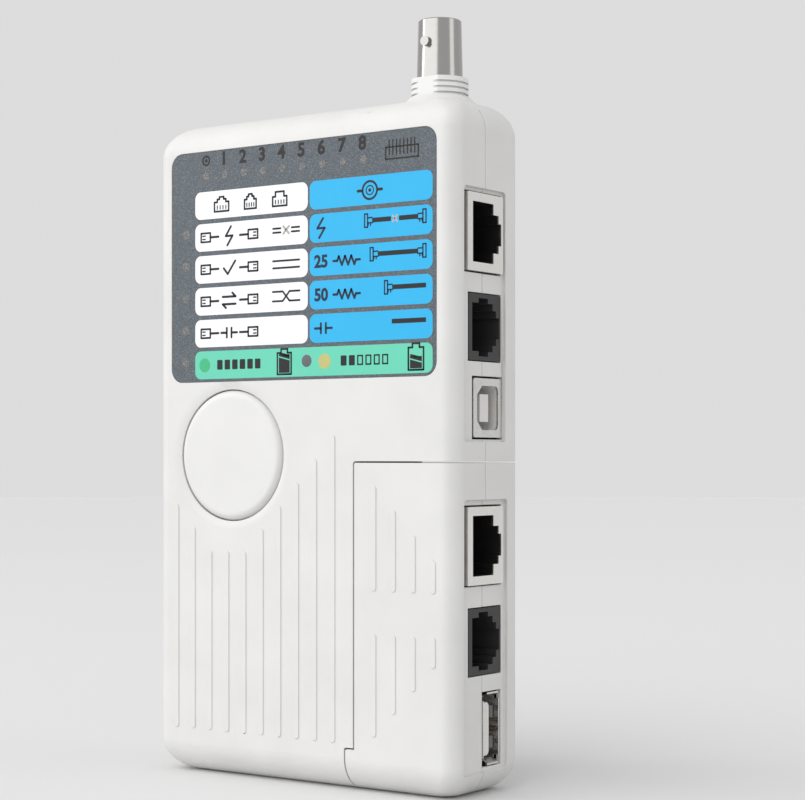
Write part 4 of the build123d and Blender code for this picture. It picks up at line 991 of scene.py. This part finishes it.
@dataclass
class PrintedLabel:
    """Ink on the label overlay: boxes, pictograms, numerals and LED windows."""

    paint: Paintbox
    ink_mm: float = 0.03
    over_mm: float = 0.02
    window_mm: float = 0.03
    battery_window_mm: float = 0.06
    box_height: float = 5.95
    white_left: float = 6.6
    white_width: float = 30.95
    blue_left: float = 38.05
    blue_width: float = 31.0
    strip_foot: float = 0.55
    strip_height: float = 6.05
    first_row: float = 7.45
    row_pitch: float = 6.93
    corner: float = 1.55
    numeral_height: float = 2.75
    numeral_level: float = 47.85
    numeral_shift: float = -0.3
    screen_ring: tuple[float, float] = (1.15, 0.75)
    screen_dot: float = 0.4
    plug_right: float = 9.6
    plug_drop: float = 2.3
    plug_wire_first: float = -3.15
    plug_wire_pitch: float = 0.9
    plug_wire_span: tuple[float, float] = (-0.6, 2.3)
    pair_margin: float = 5.75
    pair_half: float = 3.5
    pair_gap: float = 1.5
    pair_cross: float = 0.75
    swap_half: float = 3.6
    swap_turn: float = 0.9
    swap_lift: float = 0.2
    link_left: float = 9.6
    link_reach: float = 6.6
    link_cable: tuple[float, float] = (1.3, 3.6)
    link_pins: tuple[float, float] = (0.15, 0.85)
    link_pin_level: float = 0.35
    value_height: float = 2.5
    value_drop: float = 0.1
    window_level: float = 44.5
    window_first: float = 9.7
    window_pitch: float = 5.28
    window_radius: float = 0.85
    column_window: float = 3.95
    column_lift: float = 0.8
    battery_window: float = 37.25
    battery_window_radius: float = 1.28
    battery_window_lift: float = 0.2
    column_window_share: float = 1.2
    coax_lift: float = 0.75
    coax_width: float = 0.95
    coax_end: float = 1.9
    coax_margin: float = 1.6
    coax_gap: float = 1.0
    coax_corner: float = 0.12
    coax_cross: tuple[float, float] = (0.55, 0.6)
    coax_rings: tuple[tuple[float, float], ...] = ((2.05, 1.6), (1.05, 0.8))
    coax_pin: float = 0.36
    coax_ticks: tuple[float, float] = (2.2, 3.0)
    value_left: float = 3.0
    open_shift: float = 0.6
    resistor_shift: float = 6.6
    charge_height: float = 3.9
    charge_width: float = 2.9
    charge_foot: float = 2.4
    cells: tuple[tuple[float, float, float], ...] = ((31.3, 0.25, 1.0), (65.0, 0.35, 0.62))
    gauges: tuple[tuple[float, int], ...] = ((13.6, 6), (46.9, 2))
    good_dot: tuple[float, float] = (9.3, 1.5)
    low_dot: tuple[float, float] = (41.95, 1.6)
    block_pitch: float = 2.1
    block_size: tuple[float, float] = (1.5, 2.1)

    def build(self) -> None:
        """Print everything on the overlay."""
        low, high = box_mm("label_overlay")
        self.left, self.foot, self.face = low.x, low.z, low.y
        self.strip_middle = self.strip_foot + self.strip_height / 2
        self._boxes()
        self._numerals()
        self._wire_marks()
        self._coax_marks()
        self._battery_marks()
        self._windows()

    def _at(self, u: float, v: float, level: int = 0) -> Matrix:
        """Place on the label.

        Args:
            u: Distance from the label's left edge.
            v: Distance from its lower edge.
            level: Layers of ink below: 0 on the film, 1 on a printed box.

        Returns:
            The place, its z axis out of the label.
        """
        return facing_front(self.left + u, self.face - level * self.ink_mm, self.foot + v)

    def _row(self, index: int) -> float:
        """Middle height of a printed row, counted from the lowest; row 4 is the heading."""
        return self.first_row + self.box_height / 2 + self.row_pitch * index

    def _print(self, **inks: tuple[Shape, bpy.types.Material]) -> None:
        """Lay shapes on the label, each under its own name and in its own ink."""
        for name, (shape, ink) in inks.items():
            shape.finish(name, ink, "main", "overlay")

    def _boxes(self) -> None:
        """White, blue and green printed boxes."""
        white, blue, strip = Shape(self.ink_mm), Shape(self.ink_mm), Shape(self.ink_mm)
        for shape, left, width in (
            (white, self.white_left, self.white_width), (blue, self.blue_left, self.blue_width),
        ):
            for index in range(5):
                shape.plate((width, self.box_height), self.corner, self._at(left + width / 2, self._row(index)))
        whole = self.blue_left + self.blue_width - self.white_left
        middle = self._at(self.white_left + whole / 2, self.strip_middle)
        strip.plate((whole, self.strip_height), self.corner, middle)
        self._print(
            white_boxes=(white, self.paint.ink_white), blue_boxes=(blue, self.paint.ink_blue),
            green_strip=(strip, self.paint.ink_green),
        )

    def _numerals(self) -> None:
        """Numbers 1 to 8 over the LED row, with a ring for the cable's screen before them."""
        shape = Shape(self.over_mm)
        for index in range(8):
            u = self.window_first + self.window_pitch * (index + 1) + self.numeral_shift
            shape.text(str(index + 1), self.numeral_height, self._at(u, self.numeral_level))
        screen = self._at(self.window_first, self.numeral_level)
        shape.ring(*self.screen_ring, screen)
        shape.disc(self.screen_dot, screen, 20)
        u = self.window_first + self.window_pitch * 8 + self.plug_right
        plug = self._at(u, self.numeral_level - self.plug_drop)
        shape.strokes(Mark.CABLE_PLUG.value, Pen.PLUG, plug)
        low, high = self.plug_wire_span
        wires = (self.plug_wire_first + self.plug_wire_pitch * index for index in range(8))
        shape.strokes([((x, low), (x, high)) for x in wires], Pen.WIRE, plug)
        self._print(label_numerals=(shape, self.paint.ink_numeral))

    def _wire_marks(self) -> None:
        """Two-wire pictograms on the white rows and sockets on their heading."""
        dark, grey = Shape(self.over_mm), Shape(self.over_mm)
        right = self.white_left + self.white_width - self.pair_margin
        half, gap = self.pair_half, self.pair_gap
        for index, lift, level, gapped in ((3, 0.25, 0.43, True), (2, 0.0, 0.75, False)):
            place = self._at(right, self._row(index) + lift, 1)
            spans = ((-half, -gap), (gap, half)) if gapped else ((-half, half),)
            pair = [((start, side), (end, side)) for side in (-level, level) for start, end in spans]
            dark.strokes(pair, Pen.LINE, place)
            if gapped:
                grey.cross((self.pair_cross, self.pair_cross), Pen.BOLD, place)
        half, turn = self.swap_half, self.swap_turn
        swap = [((-half, side), (-turn, side), (turn, -side), (half, -side)) for side in (-1, 1)]
        dark.strokes(swap, Pen.LINE, self._at(right, self._row(1) + self.swap_lift, 1))
        for index, mark in ((3, Mark.SHORTED), (2, Mark.JOINED), (1, Mark.CROSSED), (0, Mark.OPEN)):
            self._linked(dark, mark, self.white_left + self.link_left, self._row(index))
        self._socket_marks(dark)
        self._print(wire_marks=(dark, self.paint.ink_dark), wire_marks_grey=(grey, self.paint.ink_grey))

    def _linked(self, shape: Shape, mark: Mark, u: float, v: float) -> None:
        """Draw a row pictogram between two plugs, each on its length of cable.

        Args:
            shape: Ink to add to.
            mark: The pictogram.
            u: Its middle from the label's left edge.
            v: Its middle from the lower edge.
        """
        (near, far), (start, end), pin = self.link_pins, self.link_cable, self.link_pin_level
        for side in (-1, 1):
            place = self._at(u + side * self.link_reach, v, 1)
            shape.strokes(Mark.ROW_PLUG.value, Pen.LINE, place)
            pins = [((side * near, level), (side * far, level)) for level in (-pin, pin)]
            shape.strokes(pins, Pen.WIRE, place)
            shape.strokes([((-side * start, 0.0), (-side * end, 0.0))], Pen.BOLD, place)
        shape.strokes(mark.value, Pen.BOLD, self._at(u, v, 1))

    def _socket_marks(self, shape: Shape) -> None:
        """Three socket outlines on the white heading.

        Args:
            shape: Ink to add to.
        """
        middle = self.white_left + self.white_width / 2
        for offset, half, stepped in ((-8.0, 2.0, True), (0.0, 1.6, True), (8.0, 1.9, False)):
            place = self._at(middle + offset, self._row(4), 1)
            edge = [(-half, -1.5), (half, -1.5), (half, 0.5), (half * 0.6, 0.5)]
            if stepped:
                edge += [(half * 0.6, 1.1), (half * 0.3, 1.1), (half * 0.3, 1.6)]
            else:
                edge += [(half * 0.6, 1.5)]
            edge += [(-x, y) for x, y in reversed(edge)]
            shape.strokes([edge], Pen.LINE, place)
            pins = (-half * 0.6 + half * 0.4 * index for index in range(4))
            shape.strokes([((x, -1.0), (x, -0.3)) for x in pins], Pen.PIN, place)

    def _coax_end(self, shape: Shape, u: float, v: float, side: int) -> None:
        """Outlined end plug of a coax pictogram.

        Args:
            shape: Ink to add to.
            u: Its inner edge from the label's left edge.
            v: Its middle from the lower edge.
            side: -1 at the left end of the cable, 1 at the right.
        """
        paths = [[(-side * x, y) for x, y in path] for path in Mark.COAX_END.value]
        shape.strokes(paths, Pen.WIRE, self._at(u, v, 1))

    def _coax_marks(self) -> None:
        """Coax pictograms and impedance numbers on the blue rows."""
        navy, dark, grey = Shape(self.over_mm), Shape(self.over_mm), Shape(self.over_mm)
        right = self.blue_left + self.blue_width - self.coax_margin
        rows = ((3, 15.2, True, True), (2, 13.8, True, False), (1, 10.2, False, False), (0, 8.4, False, False))
        for index, length, both, gapped in rows:
            v = self._row(index) + self.coax_lift
            start, end = right - length, right
            if index > 0:
                self._coax_end(navy, start, v, -1)
                start += self.coax_end
            if both:
                self._coax_end(navy, end, v, 1)
                end -= self.coax_end
            middle, gap = (start + end) / 2, self.coax_gap
            for a, b in ((start, middle - gap), (middle + gap, end)) if gapped else ((start, end),):
                dark.plate((b - a, self.coax_width), self.coax_corner, self._at((a + b) / 2, v, 1), 2)
            if gapped:
                grey.cross(self.coax_cross, Pen.LINE, self._at(middle, v, 1))
        left = self.blue_left + self.value_left
        navy.strokes(Mark.SHORTED.value, Pen.BOLD, self._at(left, self._row(3), 1))
        navy.strokes(Mark.OPEN.value, Pen.BOLD, self._at(left + self.open_shift, self._row(0), 1))
        for index, value in ((2, "25"), (1, "50")):
            level = self._row(index) - self.value_drop
            navy.text(value, self.value_height, self._at(left, level, 1))
            navy.strokes(Mark.RESISTOR.value, Pen.BOLD, self._at(left + self.resistor_shift, level, 1))
        heading = self._at(self.blue_left + self.blue_width / 2, self._row(4), 1)
        for outer, inner in self.coax_rings:
            dark.ring(outer, inner, heading)
        dark.disc(self.coax_pin, heading, 20)
        near, far = self.coax_ticks
        dark.strokes([((side * near, 0.0), (side * far, 0.0)) for side in (-1, 1)], Pen.TICK, heading)
        self._print(
            coax_ends=(navy, self.paint.ink_navy), coax_marks=(dark, self.paint.ink_dark),
            coax_cross=(grey, self.paint.ink_grey),
        )

    def _cell(self, shape: Shape, cover: Shape, u: float, v: float, charge: float) -> None:
        """Battery outline with its charge, split by a slanted line.

        Args:
            shape: Dark ink to add to.
            cover: Ink of the strip, laid over the dark.
            u: Its middle from the label's left edge.
            v: Its middle from the lower edge.
            charge: Share of its height that is filled.
        """
        place = self._at(u, v, 1)
        shape.strokes(Mark.CELL.value, Pen.CELL, place)
        height = self.charge_height * charge
        shape.plate((self.charge_width, height), 0.1, self._at(u, v - self.charge_foot + height / 2, 1), 2)
        shape.strokes([((-1.2, height - 2.2), (1.2, height - 2.75))], Pen.BOLD, place)
        cover.strokes([((-1.4, height - 2.9), (1.4, height - 3.6))], Pen.SLANT, self._at(u, v, 2))

    def _gauge(self, shape: Shape, u: float, v: float, filled: int) -> None:
        """Row of six level blocks.

        Args:
            shape: Ink to add to.
            u: Middle of the first block from the label's left edge.
            v: Middle of the row from the lower edge.
            filled: How many blocks are filled.
        """
        for index in range(6):
            place = self._at(u + self.block_pitch * index, v, 1)
            if index < filled:
                shape.plate(self.block_size, 0.2, place, 2)
            else:
                shape.strokes(Mark.LEVEL_BLOCK.value, Pen.BLOCK, place)

    def _battery_marks(self) -> None:
        """Battery strip: coloured dots, level blocks and two battery outlines."""
        v = self.strip_middle
        dark, cover, good, low = (Shape(self.over_mm) for _ in range(4))
        for u, lift, charge in self.cells:
            self._cell(dark, cover, u, v + lift, charge)
        for u, filled in self.gauges:
            self._gauge(dark, u, v, filled)
        for shape, (u, radius) in ((good, self.good_dot), (low, self.low_dot)):
            shape.disc(radius, self._at(u, v, 1), 36)
        self._print(
            battery_marks=(dark, self.paint.ink_dark), battery_slants=(cover, self.paint.ink_green),
            good_dot=(good, self.paint.dot_green), low_dot=(low, self.paint.dot_yellow),
        )

    def _windows(self) -> None:
        """Flat LED windows in the film, and the shouldered one on the battery strip."""
        shape, battery = Shape(self.window_mm), Shape(self.battery_window_mm)
        for index in range(9):
            u = self.window_first + self.window_pitch * index
            shape.disc(self.window_radius, self._at(u, self.window_level), 28)
        for index in range(5):
            v = self.strip_middle + self.row_pitch * index + self.column_lift
            shape.disc(self.window_radius * self.column_window_share, self._at(self.column_window, v), 28)
        place = self._at(self.battery_window, self.strip_middle + self.battery_window_lift, 1)
        battery.disc(self.battery_window_radius, place, 32, 0.2)
        shape.finish("led_windows", self.paint.window, "main", "overlay", 60.0)
        battery.finish("battery_window", self.paint.window_dark, "main", "overlay", 60.0)


@dataclass
class BackMarks:
    """Small marks on the back: the door's raised arrow and the battery's polarity signs."""

    paint: Paintbox
    arrow_mm: float = 3.2
    arrow_drop: float = 19.0
    arrow_corner: float = 0.35
    arrow_shoulder: float = 0.12
    rise_mm: float = 0.25
    sign_size: tuple[float, float] = (3.2, 0.8)
    sign_mm: float = 0.03
    sign_reach: float = 6.3
    sign_drop: float = 4.5

    def build(self) -> None:
        """Mould the arrow and print the signs."""
        self._arrow()
        self._polarity()

    def _arrow(self) -> None:
        """Raised triangle on the battery door, which points the way it slides."""
        low, high = box_mm("battery_door")
        shape = Shape(self.rise_mm)
        place = facing_back((low.x + high.x) / 2, high.y, high.z - self.arrow_drop)
        made = bmesh.ops.create_circle(shape.bm, cap_ends=True, segments=3, radius=self.arrow_mm)
        verts = made["verts"]
        bmesh.ops.rotate(shape.bm, cent=(0, 0, 0), matrix=Matrix.Rotation(math.pi, 3, "Z"), verts=verts)
        cut = bmesh.ops.bevel(
            shape.bm, geom=verts, offset=self.arrow_corner, offset_type="OFFSET", segments=4, profile=0.5,
            affect="VERTICES", material=-1,
        )
        faces = list({face for vert in cut["verts"] for face in vert.link_faces})
        shape.lift(faces, place, self.arrow_shoulder)
        shape.finish("door_arrow", self.paint.door, "door", "door")

    def _polarity(self) -> None:
        """Plus and minus on the battery's back."""
        low, high = box_mm("battery_case")
        shape = Shape(self.sign_mm)
        for side, turns in ((-1, (0.0, 90.0)), (1, (0.0,))):
            reach = side * self.sign_reach
            place = facing_back((low.x + high.x) / 2 + reach, high.y, high.z - self.sign_drop)
            for turn in turns:
                spin = Matrix.Rotation(math.radians(turn), 4, "Z")
                shape.plate(self.sign_size, 0.1, place @ spin, 2)
        shape.finish("battery_signs", self.paint.ink_white, "main", "battery")


@dataclass
class SocketSprings:
    """Two bowed leaf springs behind the tongue of the large USB socket."""

    paint: Paintbox
    mouth_x: float = 38.6
    wall_y: float = 4.9
    middle_z: float = 13.5
    spread: float = 3.1
    leaf_width: float = 2.5
    leaf_thick: float = 0.3
    bow: Path = ((-8.2, -0.2), (-5.4, -0.75), (-3.4, -1.05), (-2.2, -0.95), (-1.3, -0.35))

    def build(self) -> None:
        """Bend both leaves from the wall to the tongue and back."""
        shape = Shape(self.leaf_width)
        for side in (-1, 1):
            foot = self.middle_z + side * self.spread - self.leaf_width / 2
            place = Matrix.Translation((self.mouth_x, self.wall_y, foot))
            shape.strokes([self.bow], self.leaf_thick, place)
        shape.finish("usb_a_springs", self.paint.spring, "remote", "usb_metal")


@dataclass(frozen=True)
class Softbox:
    """Rectangular lamp: its place and size in metres and its power in watts."""

    name: str
    place: tuple[float, float, float]
    size: tuple[float, float]
    power: float


@dataclass
class Studio:
    """Pale floor, soft light and the camera."""

    floor_radius: float = 3.0
    lens_mm: float = 88.4
    sensor_mm: float = 36.0
    azimuth_deg: float = 35.11
    distance: float = 0.3909
    sideways: float = 0.01038
    eye_height: float = 0.0690
    shift_up: float = 0.0698
    key_place: tuple[float, float, float] = (-0.38, -1.0, 0.80)
    key_spread_deg: float = 85.0
    key_strength: float = 2.0
    softboxes: tuple[Softbox, ...] = (
        Softbox("left_softbox", (-0.9, -0.5, 0.35), (0.16, 0.9), 1.6),
        Softbox("right_softbox", (0.95, 0.15, 0.45), (0.4, 0.9), 1.1),
    )
    surround: float = 0.72
    aim: tuple[float, float, float] = (0.0, 0.0, 0.07)
    corner: tuple[float, float, float] = (0.0395, -0.0125, 0.0)

    def build(self) -> None:
        """Set the stage."""
        self._floor()
        self._lights()
        self._camera()

    def _floor(self) -> None:
        """Round seamless floor."""
        work = bmesh.new()
        bmesh.ops.create_circle(work, cap_ends=True, segments=96, radius=self.floor_radius)
        mesh = bpy.data.meshes.new("studio_floor")
        work.to_mesh(mesh)
        work.free()
        mesh.materials.append(StudioFloor("floor_paper").make())
        floor = bpy.data.objects.new("studio_floor", mesh)
        bpy.context.scene.collection.objects.link(floor)

    def _lamp(self, light: bpy.types.Light, place: tuple[float, float, float]) -> None:
        """Hang a light, turned to the middle of the tester.

        Args:
            light: The light.
            place: Where it hangs, in metres.
        """
        lamp = bpy.data.objects.new(light.name, light)
        lamp.location = place
        lamp.rotation_euler = (Vector(self.aim) - Vector(place)).to_track_quat("-Z", "Y").to_euler()
        bpy.context.scene.collection.objects.link(lamp)

    def _lights(self) -> None:
        """Broad key from the front left, a soft box on each side, and a pale surround."""
        sun = bpy.data.lights.new("key_light", "SUN")
        sun.angle = math.radians(self.key_spread_deg)
        sun.energy = self.key_strength
        self._lamp(sun, self.key_place)
        for box in self.softboxes:
            light = bpy.data.lights.new(box.name, "AREA")
            light.shape = "RECTANGLE"
            light.size, light.size_y = box.size
            light.energy = box.power
            self._lamp(light, box.place)
        world = bpy.data.worlds.new("surround")
        world.use_nodes = True
        back = next(n for n in world.node_tree.nodes if n.type == "BACKGROUND")
        back.inputs["Color"].default_value = (1.0, 1.0, 1.0, 1.0)
        back.inputs["Strength"].default_value = self.surround
        bpy.context.scene.world = world
        bpy.context.scene.view_settings.view_transform = "Standard"

    def _camera(self) -> None:
        """Level camera with a small upward shift."""
        turn = math.radians(self.azimuth_deg)
        forward = Vector((-math.sin(turn), math.cos(turn), 0.0))
        right = Vector((math.cos(turn), math.sin(turn), 0.0))
        camera = bpy.data.cameras.new("camera")
        camera.lens = self.lens_mm
        camera.sensor_width = self.sensor_mm
        camera.shift_y = self.shift_up
        camera.clip_start = 0.01
        eye = bpy.data.objects.new("camera", camera)
        place = Vector(self.corner) - forward * self.distance - right * self.sideways
        eye.location = (place.x, place.y, self.eye_height)
        eye.rotation_euler = (math.pi / 2, 0.0, turn)
        bpy.context.scene.collection.objects.link(eye)
        bpy.context.scene.camera = eye


def main() -> None:
    """Build the looks of the tester round its frame."""
    logging.basicConfig(level=logging.INFO, format="%(message)s")
    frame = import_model()
    frame["slots"] = {row["node"]: row["material_slot"] for row in frame["record"]["subparts"]}
    paint = Paintbox()
    for assembly in (
        MouldedNodes(frame, paint),
        CarriedNodes(frame, paint),
        PrintedLabel(paint),
        BackMarks(paint),
        SocketSprings(paint),
        Studio(),
    ):
        assembly.build()
        LOG.info("%s built", type(assembly).__name__)


if __name__ == "__main__":
    main()
